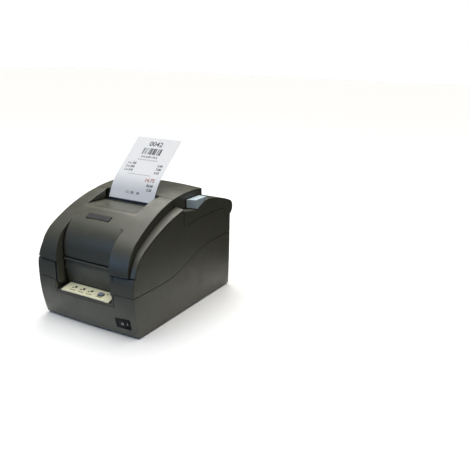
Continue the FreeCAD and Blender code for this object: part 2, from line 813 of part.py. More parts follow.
def feed_prism(name, grow, ends):
    """The feed button's long round outline, grown, drawn out square to the panel."""
    low, high = ends
    reach = "(feed_length - feed_width) / 2"
    radius = f"(feed_width / 2 + {grow})"
    solid = prism(name, "xy", [
        (f"-{reach}", f"-{radius}"),
        (reach, f"-{radius}", f"{radius} + arc_slack"),
        (reach, radius),
        (f"-{reach}", radius, f"{radius} + arc_slack"),
    ], (low, high))
    solid.Placement = FreeCAD.Placement(VECTOR(), FreeCAD.Rotation(VECTOR(1, 0, 0), 1))
    bind(solid, "Placement.Base.x", "feed_x")
    bind(solid, "Placement.Base.y", "feed_y")
    bind(solid, "Placement.Base.z", panel_height("feed_y"))
    bind(solid, "Placement.Rotation.Angle", "panel_slope")
    return solid


def panel_slab(name, half, top, bottom, ends):
    """A slab parallel to the panel; top and bottom are distances under its face, square to it."""
    front_y, back_y = ends
    def at(place, depth):
        return (place, f"{panel_height(place)} - ({depth}) / cos(panel_slope)")
    return prism(name, "yz", [at(front_y, bottom), at(back_y, bottom), at(back_y, top), at(front_y, top)],
                 (f"-({half})", half))


def board_bosses():
    """Short ribs under the recess floor that carry the panel's circuit board."""
    rib = panel_slab("board_rib", "boss_radius", "panel_thick + panel_base / 2", "board_drop - board_thick",
                     ("panel_back - boss_radius", "panel_back"))
    ribs = []
    for side in ("-", ""):
        moved = DOC.addObject("Part::Compound", f"board_rib_{'left' if side else 'right'}")
        moved.Links = [rib]
        bind(moved, "Placement.Base.x", f"{side}3 * panel_width / 8")
        ribs.append(moved)
    return ribs


def switch_block(name, half_x, half_z, ends):
    """A block square to the leaning front at the power switch; ends are depths along its outward face."""
    low, high = ends
    solid = prism(name, "xz", [
        (f"-({half_x})", f"-({half_z})"), (half_x, f"-({half_z})"),
        (half_x, half_z), (f"-({half_x})", half_z),
    ], (f"-({high})", f"-({low})"))
    return on_switch(solid)


def on_switch(solid):
    """Set a solid made about the origin at the middle of the power switch, square to the front."""
    angle = "switch_lean"
    solid.Placement = FreeCAD.Placement(VECTOR(), FreeCAD.Rotation(VECTOR(1, 0, 0), 1))
    bind(solid, "Placement.Rotation.Angle", angle)
    bind(solid, "Placement.Base.x", "switch_x")
    bow = "switch_x^2 / (2 * crown_reach) * sin(crown_tilt)"
    bind(solid, "Placement.Base.y",
         f"rim_front + front_lean_radius * (1 - cos({angle})) + {bow}")
    bind(solid, "Placement.Base.z", "switch_height")
    return solid


def flare_points(inset, end):
    """Plan of the raised middle: straight behind, flaring towards the front."""
    wide = f"(bulge_width / 2 - ({inset}))"
    flared = f"({wide} + bulge_flare / 2)"
    return [
        (f"-{flared}", "front - wall"), (flared, "front - wall"), (wide, "cover_split - wall"), (wide, end),
        (f"-{wide}", end), (f"-{wide}", "cover_split - wall"),
    ]


def raised_middle(name, inset, end):
    """The raised middle of the covers as one solid, moved inwards by inset."""
    return common(name,
                  crowned(f"{name}_turn",
                          bulge_points(inset, "cover_seam - 2 * wall", f"({end} + 4 * wall)")),
                  prism(f"{name}_plan", "xy", flare_points(inset, end), ("0", "far")))


def recess_points(inset):
    """Side outline of the recess in the front cover, which leaves the bulge smoothly, grown by inset."""
    bend = f"(recess_bend - ({inset}))"
    reach = f"({bend} + case_length / 4)"
    top = f"recess_mid_z + {reach} * recess_rise"
    low = "cover_seam - 4 * wall"
    return [
        ("front - case_length / 4", low),
        (f"recess_back + {inset}", low),
        (f"recess_back + {inset}", "recess_mid_z", f"-{bend}"),
        (f"recess_mid_y - {bend} * recess_lean", f"recess_mid_z + {bend} * recess_rise"),
        (f"recess_mid_y - {reach} * recess_lean", top),
        ("front - case_length / 4", top),
    ]


def recess_block(name, inset, half):
    """The crowned space of the recess between two sides, grown by inset."""
    space = box(f"{name}_width", (f"-({half})", half), ("-far", "far"), ("0", "far"))
    return common(name, crowned(f"{name}_turn", recess_points(inset)), space)


def scoop_points(inset):
    """Side outline of the scoop in front of the paper exit, grown downwards by inset."""
    return [
        (f"scoop_front - {inset}", f"scoop_front_z - {inset}"),
        ("paper_edge", f"scoop_floor - {inset}"),
        ("paper_edge", "far"),
        (f"scoop_front - {inset}", "far"),
    ]


def make_front_cover():
    """Front cover: two side bands, the raised middle, the front recess, the scoop and hinge cheeks."""
    width = box("cover_width", ("-half", "half"), ("-far", "skirt_split - seam_gap"), ("0", "far"))
    bands = common("cover_bands", crowned("cover_rim", rim_points("0", "cover_seam - 2 * wall", "0")),
                   width)
    outer = fuse("cover_outer", bands, raised_middle("cover_middle", "0", "cover_split"))
    bands_in = crowned("cover_rim_in", rim_points("cover_wall", "cover_seam - 3 * wall", "0"))
    middle_in = raised_middle("cover_middle_in", "cover_wall", "0")
    recess = recess_block("cover_recess", "0", "recess_half")
    recess_in = recess_block("cover_recess_in", "cover_wall", "cheek_out")
    scoop = prism("cover_scoop", "yz", scoop_points("0"), ("-scoop_width / 2", "scoop_width / 2"))
    scoop_in = prism("cover_scoop_in", "yz", scoop_points("cover_wall"),
                     ("-scoop_width / 2 - cover_wall", "scoop_width / 2 + cover_wall"))
    hollow = cut("cover_hollow", fuse("cover_inside", bands_in, middle_in), recess_in, scoop_in)
    slot = box("cover_slot", ("-scoop_width / 2 - cover_wall", "scoop_width / 2 + cover_wall"),
               ("paper_edge", "0"),
               ("0", "far"))
    low = box("cover_low", ("-far", "far"), ("-far", "far"), ("0", "cover_seam"))
    low_middle = box("cover_low_middle", ("-cheek_out - seam_gap", "cheek_out + seam_gap"),
                     ("recess_back - wall", "far"),
                     ("0", "ledge_height + front_gap"))
    behind = box("cover_behind", ("-bulge_width / 2 - seam_gap", "bulge_width / 2 + seam_gap"),
                 ("cover_split", "0"),
                 ("0", "far"))
    shell = cut("cover_shell", outer, hollow, recess, scoop, slot, behind, low, low_middle)
    cheek = prism("cover_cheek", "yz", [
        ("front_pivot_y + cheek_end", "front_pivot_z"),
        ("recess_back + seam_gap", "cover_seam"),
        ("recess_back + seam_gap", "ledge_height + 2 * wall"),
        ("rim_front + 2 * wall", "ledge_height + 2 * wall"),
        ("rim_front + wall", "cover_seam"),
        ("front_pivot_y - cheek_end", "front_pivot_z", "cheek_end + arc_slack"),
    ], ("recess_half", "cheek_out"))
    pin = both("cover_pin_holes", rod("cover_pin_hole", "x", "front_pin + pin_clearance",
                                      ("recess_half + pin_skin", "far"),
                                      ("front_pivot_y", "front_pivot_z")))
    return part("front_cover", cut("front_cover", fuse("cover_cheeks", shell, both("cheeks", cheek)), pin))


def deck_points(inset, low, angle):
    """Side outline of the rear cover's deck and hinge barrel, moved inwards by inset."""
    deck = f"(deck_radius - ({inset}))"
    barrel = f"(barrel_radius - ({inset}))"
    lean = "atan2(hinge_height - deck_z; hinge_y - deck_top_y)"
    start = f"skirt_split + {inset}"
    return [
        (start, low),
        (start, f"deck_z + sqrt({deck}^2 - ({start} - deck_top_y)^2)", f"-{deck}"),
        (f"hinge_y + {barrel} * cos({lean})", f"hinge_height + {barrel} * sin({lean})", f"-{barrel}"),
        (f"hinge_y + {barrel} * cos({angle})", f"hinge_height - {barrel} * sin({angle})"),
        ("hinge_y", "hinge_height - barrel_radius / 4"),
        ("hinge_y - barrel_radius", low),
    ]


def notch_points(inset):
    """Side outline of the space over the finger notch and the lever's ramp, lowered by inset."""
    drop = f"({inset}) / cos(notch_lean)"
    return [
        ("skirt_split - wall", f"notch_front_z - {drop}"),
        ("notch_low_y", f"notch_low_z - {drop}"),
        ("notch_top_y", f"deck_z + sqrt(deck_radius^2 - (notch_top_y - deck_top_y)^2) - {drop}"),
        ("notch_top_y", "far"),
        ("skirt_split - wall", "far"),
    ]


def make_rear_cover():
    """Rear cover: shoulders with skirts, raised middle, hinge barrel, lever notch and shaft ears."""
    side = "bulge_width / 2"
    deck = prism("lid_deck", "yz", deck_points("0", "hinge_height - barrel_radius", "barrel_cut"),
                 ("-half", "half"))
    deck_in = prism("lid_deck_in", "yz", deck_points("wall", "0", "barrel_cut"), ("-inner", "inner"))
    notch = prism("lid_notch", "yz", notch_points("0"), (side, "far"))
    notch_in = prism("lid_notch_in", "yz", notch_points("wall"), (f"{side} - wall", "far"))
    tail = prism("lid_tail", "yz", [
        ("cover_split + seam_gap", "deck_top - 2 * lid_lip_drop"),
        ("bulge_foot + wall", "deck_top - 2 * lid_lip_drop"),
        ("bulge_foot", "deck_top - wall"),
        ("bulge_end", "far"),
        ("cover_split + seam_gap", "far"),
    ], ("-far", "far"))
    tail_in = prism("lid_tail_in", "yz", [
        ("cover_split + seam_gap + wall", "0"),
        ("bulge_foot", "0"),
        ("bulge_foot - wall", "deck_top - wall"),
        ("bulge_end - wall", "far"),
        ("cover_split + seam_gap + wall", "far"),
    ], ("-far", "far"))
    middle = common("lid_middle", raised_middle("lid_raised", "0", "bulge_foot + 2 * wall"), tail)
    low_middle = box("lid_low_middle", ("-far", "far"), ("-far", "far"), ("0", "deck_top - lid_lip_drop"))
    middle_trimmed = cut("lid_middle_trimmed", middle, low_middle)
    middle_in = common("lid_middle_in", raised_middle("lid_raised_in", "wall", "bulge_foot + 2 * wall"),
                       tail_in)
    shoulder = cut("lid_shoulder", deck, notch)
    shoulder_in = cut("lid_shoulder_in", deck_in, notch_in)
    under = cut("lid_under", prism("lid_under_skirt", "yz", skirt_points("0", "-far"), ("-far", "far")),
                rod("lid_barrel_keep", "x", "barrel_radius", ("-half", "half"),
                    ("hinge_y", "hinge_height")))
    front_under = box("lid_front_under", ("-far", "far"), ("skirt_split - wall", "skirt_split + wall"),
                      ("0", "hinge_height - barrel_radius"))
    shell = cut("lid_shell", cut("lid_skirted", shoulder, under, front_under), shoulder_in)
    knuckle = rod("lid_knuckle", "x", "barrel_radius", ("knuckle_inner", "half"),
                  ("hinge_y", "hinge_height"))
    ear = prism("lid_ear", "yz", [
        ("latch_y - 2 * latch_radius", "latch_z", "2 * latch_radius + arc_slack"),
        ("latch_y + 2 * latch_radius", "latch_z"),
        ("latch_y + 2 * latch_radius", "far"),
        ("latch_y - 2 * latch_radius", "far"),
    ], ("ear_x", "ear_x + ear_thick"))
    slope = "tan(90 - paper_lean)"
    lip = prism("lid_lip", "yz", [
        (f"web_rear + paper_gap + (deck_top - paper_bend_z) * {slope}", "deck_top"),
        (f"web_rear + 3 * paper_gap + (deck_top + lid_lip_drop * 2 - paper_bend_z) * {slope}",
         "deck_top + 2 * lid_lip_drop"),
        ("-far", "deck_top + 2 * lid_lip_drop"),
        ("-far", "deck_top"),
    ], ("-scoop_width / 2", "scoop_width / 2"))
    body = fuse("lid_body", cut("lid_shell_open", shell, middle_in),
                cut("lid_middle_shell", middle_trimmed, middle_in),
                both("lid_knuckles", knuckle),
                common("lid_ears", both("lid_ear_pair", ear), middle_trimmed))
    lug = "knuckle_inner - 2 * seam_gap - lug_thick"
    slots = both("lid_slots", prism("lid_slot", "yz", [
        ("hinge_y - 2 * barrel_radius", "hinge_height - 2 * barrel_radius"),
        ("far", "hinge_height - 2 * barrel_radius"),
        ("far", "hinge_height + barrel_radius / 2"),
        ("hinge_y", "hinge_height + barrel_radius / 2"),
    ], (lug, "knuckle_inner")))
    bores = [
        rod("lid_pin_bore", "x", "rear_pin + pin_clearance", ("pin_skin - half", "half - pin_skin"),
            ("hinge_y", "hinge_height")),
        rod("lid_latch_bore", "x", "latch_radius + pin_clearance", ("-ear_x - 2 * ear_thick", "half"),
            ("latch_y", "latch_z")),
    ]
    hollow = cut("lid_open", body, *bores, slots, lip)
    return part("rear_cover", hollow)


def make_feet_and_screws():
    """Rubber feet in their cups and the screws that hold the two case halves together."""
    feet, screws = [], []
    for side in ("-", ""):
        for end in ("foot_front", "foot_back"):
            tag = f"{'left' if side else 'right'}_{end}"
            feet.append(rod(f"pad_{tag}", "z", "foot_radius", ("0", "floor + foot_sink"),
                            (f"{side}foot_x", end)))
        for end in ("screw_front", "screw_back"):
            tag = f"{'left' if side else 'right'}_{end}"
            at = (f"{side}screw_x", end)
            head = rod(f"head_{tag}", "z", "screw_head", ("floor + wall / 4", "floor + wall"), at)
            shank = rod(f"shank_{tag}", "z", "screw_radius",
                        ("floor + wall / 2", "boss_height + 3 * boss_radius"), at)
            screws.append(fuse(f"screw_{tag}", head, shank))
    part("rubber_feet", group("rubber_feet", *feet))
    part("case_screws", group("case_screws", *screws))


def port_bodies(tag, ends):
    """The outsides of the three rear connectors between two Y coordinates."""
    side, height = "data_width / 2", "data_height / 2"
    data = prism(f"{tag}_data", "xz", [
        (f"data_x - {side} + port_wall", f"port_z - {height}"),
        (f"data_x + {side} - port_wall", f"port_z - {height}"),
        (f"data_x + {side}", f"port_z + {height}"),
        (f"data_x - {side}", f"port_z + {height}"),
    ], ends)
    power = rod(f"{tag}_power", "y", "power_radius", ends, ("power_x", "port_z"))
    drawer = box(f"{tag}_drawer", ("drawer_x - drawer_width / 2", "drawer_x + drawer_width / 2"), ends,
                 ("port_z - drawer_width / 2", "port_z + drawer_width / 2"))
    return data, power, drawer


def make_ports():
    """Rear connectors for data, power and a cash drawer, each with its socket."""
    data, power, drawer = port_bodies("plug", ("back - port_depth", "back + port_proud"))
    deep = ("back - port_depth / 2", "far")
    tongue = box("data_tongue",
                 ("data_x - data_width / 2 + 3 * port_wall", "data_x + data_width / 2 - 3 * port_wall"),
                 ("back - port_depth", "back"), ("port_z - port_wall", "port_z + port_wall"))
    socket = box("data_socket",
                 ("data_x - data_width / 2 + 2 * port_wall", "data_x + data_width / 2 - 2 * port_wall"),
                 deep, ("port_z - data_height / 2 + port_wall", "port_z + data_height / 2 - port_wall"))
    part("data_port", fuse("data_port", cut("data_shell", data, socket), tongue))
    ring = rod("power_socket", "y", "power_radius - port_wall", deep, ("power_x", "port_z"))
    core = rod("power_core", "y", "power_radius / 3", ("back - port_depth", "back"), ("power_x", "port_z"))
    part("power_port", fuse("power_port", cut("power_shell", power, ring), core))
    jack = box("drawer_socket",
               ("drawer_x - drawer_width / 2 + port_wall", "drawer_x + drawer_width / 2 - port_wall"),
               ("back - port_depth + port_wall", "far"),
               ("port_z - drawer_width / 2 + port_wall", "port_z + drawer_width / 2 - port_wall"))
    part("drawer_port", cut("drawer_port", drawer, jack))


def make_panel():
    """Cream control panel, its lamps, the feed button and the small board below."""
    slab = panel_slab("panel_slab", "panel_width / 2", "0", "panel_thick", ("panel_front", "panel_back"))
    lamps = [lamp_rod(f"panel_lamp_{index}", index, "lamp_radius", ("-2 * panel_thick", "panel_thick"))
             for index in range(3)]
    opening = feed_prism("panel_button", "feed_clearance", ("-2 * panel_thick", "panel_thick"))
    part("control_panel", cut("control_panel", slab, opening, *lamps))
    board_top = "board_drop - board_thick"
    pipes = [lamp_rod(f"lamp_{index}", index, "lamp_radius",
                      (f"-({board_top})", "lamp_rise")) for index in range(3)]
    part("status_lamps", group("status_lamps", *pipes))
    part("panel_board", panel_slab("panel_board", "panel_width / 2 - boss_radius", board_top, "board_drop",
                                   ("panel_front + 2 * boss_radius", "panel_back")))
    under = "panel_thick + panel_base"
    foot = f"{under} + seam_gap + feed_travel"
    stem = feed_prism("button_stem", "0", (f"-({foot})", "feed_rise"))
    flange = feed_prism("button_flange", "4 * feed_clearance", (f"-({foot})", f"-({under} + seam_gap)"))
    part("feed_button", fuse("feed_button", stem, flange))


def make_switch():
    """Power switch: bezel with its housing, and the rocker resting on one of its stops."""
    outer_x, outer_z = "switch_length / 2", "switch_width / 2"
    shell_x, shell_z = f"{outer_x} - switch_rim / 2", f"{outer_z} - switch_rim / 2"
    hole_x, hole_z = f"{outer_x} - switch_rim", f"{outer_z} - switch_rim"
    rim = switch_block("bezel_rim", outer_x, outer_z, ("-switch_seat", "switch_proud"))
    housing = switch_block("bezel_housing", shell_x, shell_z, ("-switch_depth", "0"))
    well = switch_block("bezel_well", hole_x, hole_z, ("-switch_depth + switch_rim", "2 * wall"))
    part("switch_bezel", cut("switch_bezel", fuse("bezel_body", rim, housing), well,
                             rocker_pin("bezel_pin_hole", "rocker_pin + pin_clearance", f"{shell_z} + 1")))
    half = f"({hole_x} - 2 * rocker_gap)"
    corners = [
        (f"-{half}", "-rocker_rise"), (half, "-rocker_rise"), (half, "rocker_rise"),
        ("0", f"rocker_rise + {half} * tan(rocker_angle)"), (f"-{half}", "rocker_rise"),
    ]
    turned = [(f"({across}) * cos(rocker_angle) + ({out}) * sin(rocker_angle)",
               f"rocker_sink + ({across}) * sin(rocker_angle) - ({out}) * cos(rocker_angle)")
              for across, out in corners]
    depth = f"({hole_z} - rocker_gap)"
    body = on_switch(prism("rocker_body", "xy", turned, (f"-{depth}", depth)))
    part("power_rocker", fuse("power_rocker", body, rocker_pin("rocker_axle", "rocker_pin", shell_z)))


def rocker_pin(name, radius, reach):
    """A rod along the rocker's turning axis."""
    side = f"({radius})"
    rounded = prism(name, "xy", [
        (f"-{side}", "rocker_sink", f"{side} + arc_slack"),
        (side, "rocker_sink", f"{side} + arc_slack"),
    ], (f"-({reach})", reach))
    return on_switch(rounded)


def make_hinge_pins():
    """Steel pins of both covers and the posts that the latch closes on."""
    front = rod("front_pin_right", "x", "front_pin",
                ("recess_half + pin_skin + seam_gap", "pocket_half + wall"),
                ("front_pivot_y", "front_pivot_z"))
    part("front_hinge_pins", group("front_hinge_pins", front, mirrored("front_pin_left", front)))
    rear = rod("rear_pin_right", "x", "rear_pin",
               ("knuckle_inner - seam_gap - lug_thick", "half - pin_skin - seam_gap"),
               ("hinge_y", "hinge_height"))
    part("rear_hinge_pins", group("rear_hinge_pins", rear, mirrored("rear_pin_left", rear)))
    post = rod("post_right", "x", "post_radius", ("hook_x", "inner + wall / 4"),
               ("latch_y + hook_width", "latch_z - hook_drop"))
    part("latch_posts", group("latch_posts", post, mirrored("post_left", post)))


def ramp_height(place):
    """Height of the notch's ramp at a Y coordinate behind its lowest place."""
    top = "(deck_z + sqrt(deck_radius^2 - (notch_top_y - deck_top_y)^2))"
    return f"notch_low_z + ({place} - notch_low_y) * ({top} - notch_low_z) / (notch_top_y - notch_low_y)"


def make_lever():
    """Cover lever with a skewed finger face, its cross shaft and the two latch hooks."""
    fall = "(notch_front_z - notch_low_z) / (notch_low_y - skirt_split)"
    wedge = prism("lever_wedge", "yz", [
        ("lever_inner_y", f"notch_low_z + lever_gap + (notch_low_y - lever_inner_y) * {fall}"),
        ("notch_low_y", "notch_low_z + lever_gap"),
        ("latch_y - lever_end", f"{ramp_height('latch_y - lever_end')} + lever_gap"),
        ("latch_y", "latch_z - lever_end", "lever_end + arc_slack"),
        ("latch_y", "latch_z + lever_end"),
        ("lever_inner_y", "lever_front_z"),
    ], ("bulge_width / 2 + lever_side", "half - lever_side"))
    skew = prism("lever_skew", "xy", [
        ("bulge_width / 2", "lever_inner_y - wall"), ("half", "lever_inner_y - wall"),
        ("half", "lever_outer_y"), ("bulge_width / 2", "lever_inner_y"),
    ], ("0", "far"))
    bore = rod("lever_bore", "x", "latch_radius", ("0", "half - 2 * wall"), ("latch_y", "latch_z"))
    part("open_lever", cut("open_lever", wedge, skew, bore))
    hook = prism("hook", "yz", [
        ("latch_y - hook_width / 2", "latch_z - hook_drop"),
        ("latch_y + hook_width / 4", "latch_z - hook_drop"),
        ("latch_y + hook_width / 2", "latch_z - hook_drop + hook_width"),
        ("latch_y + hook_width / 2", "latch_z", "hook_width / 2 + arc_slack"),
        ("latch_y - hook_width / 2", "latch_z"),
    ], ("hook_x", "hook_x + hook_thick"))
    pierced = cut("hook_pierced", hook,
                  rod("hook_bore", "x", "latch_radius", ("0", "half"), ("latch_y", "latch_z")))
    part("latch_hooks", group("latch_hooks", pierced, mirrored("hook_left", pierced)))
    part("latch_shaft", rod("latch_shaft", "x", "latch_radius", ("-hook_x - hook_thick", "half - 2 * wall"),
                            ("latch_y", "latch_z")))


def make_mech_frame():
    """Bent steel chassis with side plates, and the rods and bars between them."""
    plate = prism("frame_plate", "yz", [
        ("flange_front", "plate_low"), ("plate_back", "plate_low"),
        ("plate_back", "plate_top - boss_radius"),
        ("plate_back - boss_radius", "plate_top"), ("shaft_y", "plate_top"),
        ("plate_front", "cassette_low - boss_radius"),
        ("flange_front", "cassette_low - boss_radius"),
    ], ("plate_in", "plate_out"))
    window = prism("frame_window", "yz", [
        ("plate_front + 2 * boss_radius", "plate_low + 2 * boss_radius"),
        ("plate_back - 2 * boss_radius", "plate_low + 2 * boss_radius"),
        ("plate_back - 4 * boss_radius", "shaft_z - 4 * boss_radius"),
        ("plate_front + 4 * boss_radius", "shaft_z - 4 * boss_radius"),
    ], ("0", "half"))
    base = box("frame_base", ("-plate_out", "plate_out"), ("flange_front", "plate_back"),
               ("plate_low", "plate_low + plate_thick"))
    flange = box("frame_flange", ("-plate_out", "plate_out"), ("flange_front", "plate_front"),
                 ("plate_low", "cassette_low - boss_radius"))
    stub = rod("frame_stub", "y", "pulley_hub", ("flange_front", "belt_back"), ("pulley_x", "belt_z"))
    holes = [
        rod("frame_shaft_hole", "x", "shaft_radius", ("-half", "half"), ("shaft_y", "shaft_z")),
        rod("frame_rod_hole", "x", "rod_radius", ("-half", "half"), ("rod_y", "shaft_z")),
        rod("frame_feed_hole", "x", "feed_shaft + running_gap", ("-half", "half"),
            ("feed_axis_y", "feed_axis_z")),
        rod("frame_motor_hole", "y", "2 * pulley_hub", ("-far", "belt_front"), ("-pulley_x", "belt_z")),
    ]
    plates = both("frame_plates", cut("frame_plate_open", plate, window))
    part("mech_frame", cut("mech_frame", fuse("frame_body", plates, base, flange, stub), *holes))
    ends = ("-plate_out", "plate_out")
    part("carriage_shaft", rod("carriage_shaft", "x", "shaft_radius", ends, ("shaft_y", "shaft_z")))
    part("guide_rod", rod("guide_rod", "x", "rod_radius", ends, ("rod_y", "shaft_z")))
    part("platen_bar", box("platen_bar", ("-plate_in", "plate_in"),
                           ("web_rear + paper_gap",
                            "web_rear + paper_gap + platen_depth"), ("platen_low", "platen_high")))
    part("paper_guide",
         rod("paper_guide", "x", "guide_radius", ("-plate_in", "plate_in"), ("guide_y", "guide_z")))


def make_carriage():
    """Print head on its carriage, with the belt, pulleys and motor that move it."""
    width = "carriage_width / 2"
    block = box("carriage_block", (f"-{width}", width),
                ("rod_y - 2 * rod_radius", "shaft_y + 3 * shaft_radius"),
                ("shaft_z - 2 * shaft_radius", "carriage_top"))
    clamp = box("carriage_clamp", ("-pulley_radius", "pulley_radius"), ("belt_front", "rod_y"),
                ("belt_top + paper_gap", "carriage_top"))
    bores = [
        rod("carriage_shaft_bore", "x", "shaft_radius + running_gap", ("-half", "half"),
            ("shaft_y", "shaft_z")),
        rod("carriage_rod_bore", "x", "rod_radius + running_gap", ("-half", "half"), ("rod_y", "shaft_z")),
    ]
    part("carriage", cut("carriage", fuse("carriage_body", block, clamp), *bores))
    half, nose = "head_width / 2", "nose_width / 2"
    ribbon = "web_front - ribbon_gap - paper_thick - paper_gap"
    body = box("head_body", (f"-{half}", half), ("rod_y", "shaft_y + 4 * shaft_radius"),
               ("carriage_top", "head_top"))
    tip = box("head_tip", (f"-{nose}", nose), ("shaft_y", ribbon),
              ("ribbon_low + nose_margin", "ribbon_high - 4 * nose_margin"))
    slots = [box(f"head_slot_{row}", (f"-{half}", half),
                 (f"rod_y + {2 * row + 1} * fin_thick", f"rod_y + {2 * row + 2} * fin_thick"),
                 ("head_top - 3 * fin_thick", "head_top + fin_thick")) for row in range(5)]
    part("print_head", cut("print_head", fuse("head_whole", body, tip), *slots))

    def stadium(name, radius):
        return prism(name, "xz", [
            ("-pulley_x", f"belt_z - ({radius})"), ("pulley_x", f"belt_z - ({radius})",
                                                    f"{radius} + arc_slack"),
            ("pulley_x", f"belt_z + ({radius})"), ("-pulley_x", f"belt_z + ({radius})",
                                                   f"{radius} + arc_slack"),
        ], ("belt_front", "belt_back"))
    part("carriage_belt", cut("carriage_belt", stadium("belt_outer", "(pulley_radius + belt_thick)"),
                              stadium("belt_inner", "pulley_radius")))
    rim = "pulley_radius - paper_gap"
    wheel = rod("idler_wheel", "y", rim, ("belt_front", "belt_back"), ("pulley_x", "belt_z"))
    part("idler_pulley", cut("idler_pulley", wheel, rod("idler_bore", "y", "pulley_hub + running_gap",
                                                        ("-far", "far"), ("pulley_x", "belt_z"))))
    at = ("-pulley_x", "belt_z")
    driven = rod("drive_wheel", "y", rim, ("belt_front", "belt_back"), at)
    part("drive_pulley", fuse("drive_pulley", driven, rod("drive_shaft", "y", "pulley_hub",
                                                          ("flange_front - motor_length / 2",
                                                           "belt_back"), at)))
    can = rod("motor_can", "y", "motor_radius", ("flange_front - motor_length", "flange_front"), at)
    bore = rod("motor_bore", "y", "pulley_hub + running_gap",
               ("flange_front - motor_length / 2 - paper_gap", "far"), at)
    part("carriage_motor", cut("carriage_motor", can, bore))


def make_ribbon():
    """Ribbon cassette with its two arms, the ribbon between them and the winding knob."""
    half = "cassette_width / 2"
    ribbon = "web_front - ribbon_gap"
    case = box("cassette_case", (f"-{half}", half), ("cassette_front", "cassette_back"),
               ("cassette_low", "cassette_high"))
    ears = box("cassette_ears", ("-plate_in", "plate_in"), ("rod_y", "rod_y + 2 * boss_radius"),
               ("cassette_low + 1", "cassette_low + boss_radius"))
    arm = prism("cassette_arm", "yz", [
        ("cassette_back - boss_radius", "cassette_low"),
        ("web_front - 4 * boss_radius", "ribbon_low + boss_radius"),
        (f"{ribbon} + paper_thick", "ribbon_low + boss_radius"),
        (f"{ribbon} + paper_thick", "ribbon_high + boss_radius"),
        ("web_front - 4 * boss_radius", "cassette_low + boss_radius"),
        ("cassette_back - boss_radius", "cassette_low + boss_radius"),
    ], (f"{half} - cassette_arm", half))
    at = ("knob_x", "knob_y")
    bore = rod("knob_bore", "z", "knob_stem + running_gap",
               ("cassette_high - knob_radius - paper_gap", "far"), at)
    part("ribbon_cassette",
         cut("ribbon_cassette", fuse("cassette_body", case, ears, both("cassette_arms", arm)), bore))
    part("ribbon_strip", box("ribbon_strip", (f"cassette_arm - {half}", f"{half} - cassette_arm"),
                             (f"{ribbon} - paper_thick", ribbon), ("ribbon_low", "ribbon_high")))
    cap = rod("knob_cap", "z", "knob_radius",
              ("cassette_high + paper_gap", "cassette_high + knob_height"), at)
    stem = rod("knob_shaft", "z", "knob_stem",
               ("cassette_high - knob_radius", "cassette_high + knob_height"), at)
    flats = [box(f"knob_flat_{index}", ("knob_x - knob_radius", "knob_x + knob_radius"), ends,
                 ("cassette_high + knob_height / 2", "far"))
             for index, ends in enumerate((("knob_y - 2 * knob_radius", "knob_y - fin_thick"),
                                           ("knob_y + fin_thick", "knob_y + 2 * knob_radius")))]
    part("ribbon_knob", cut("ribbon_knob", fuse("knob_body", cap, stem), *flats))


def make_feed():
    """Feed roller with its tires and motor, and the pinch roller that the rear cover carries."""
    at = ("feed_axis_y", "feed_axis_z")
    part("feed_shaft", rod("feed_shaft_rod", "x", "feed_shaft",
                           ("-plate_out - feed_motor_length / 2", "plate_out + plate_thick"), at))
    tire = cut("tire", rod("tire_body", "x", "feed_radius", ("tire_length / 2", "tire_length * 3 / 2"), at),
               rod("tire_bore", "x", "feed_shaft", ("0", "half"), at))
    part("feed_tires", group("feed_tires", tire, mirrored("tire_left", tire)))
    can = rod("feed_can", "x", "feed_motor_radius", ("-plate_out - feed_motor_length", "-plate_out"), at)
    part("feed_motor", cut("feed_motor", can, rod("feed_can_bore", "x", "feed_shaft + running_gap",
                                                  ("-plate_out - feed_motor_length / 2 - paper_gap",
                                                   "0"), at)))
    pinch = ("pinch_axis_y", "feed_axis_z")
    arm_in, arm_out = "paper_half + paper_gap * 6", "paper_half + paper_gap * 6 + arm_thick"
    part("pinch_roller", fuse("pinch_roller",
                              rod("pinch_body", "x", "pinch_radius",
                                  ("-tire_length * 2", "tire_length * 2"), pinch),
                              rod("pinch_axle", "x", "pinch_shaft", (f"-({arm_out})", arm_out), pinch)))
    wall_back = "cover_split + seam_gap + wall"
    low_edge = "deck_top - lid_lip_drop"
    arm = prism("bracket_arm", "yz", [
        ("pinch_axis_y - 2 * pinch_shaft", "feed_axis_z", "2 * pinch_shaft + arc_slack"),
        ("pinch_axis_y + 2 * pinch_shaft", "feed_axis_z"),
        (f"{wall_back} + 2 * pinch_shaft", low_edge),
        (f"{wall_back} + 2 * pinch_shaft", f"{low_edge} + lid_lip_drop / 2"),
        (wall_back, f"{low_edge} + lid_lip_drop / 2"), (wall_back, low_edge),
        ("pinch_axis_y - 2 * pinch_shaft", low_edge),
    ], (arm_in, arm_out))
    bridge = box("bracket_bridge", (f"-({arm_out})", arm_out), (wall_back, f"{wall_back} + arm_thick"),
                 (low_edge, f"{low_edge} + lid_lip_drop / 2"))
    part("pinch_bracket", cut("pinch_bracket", fuse("bracket_body", both("bracket_arms", arm), bridge),
                              rod("bracket_bore", "x", "pinch_shaft + running_gap", ("-half", "half"),
                                  pinch)))


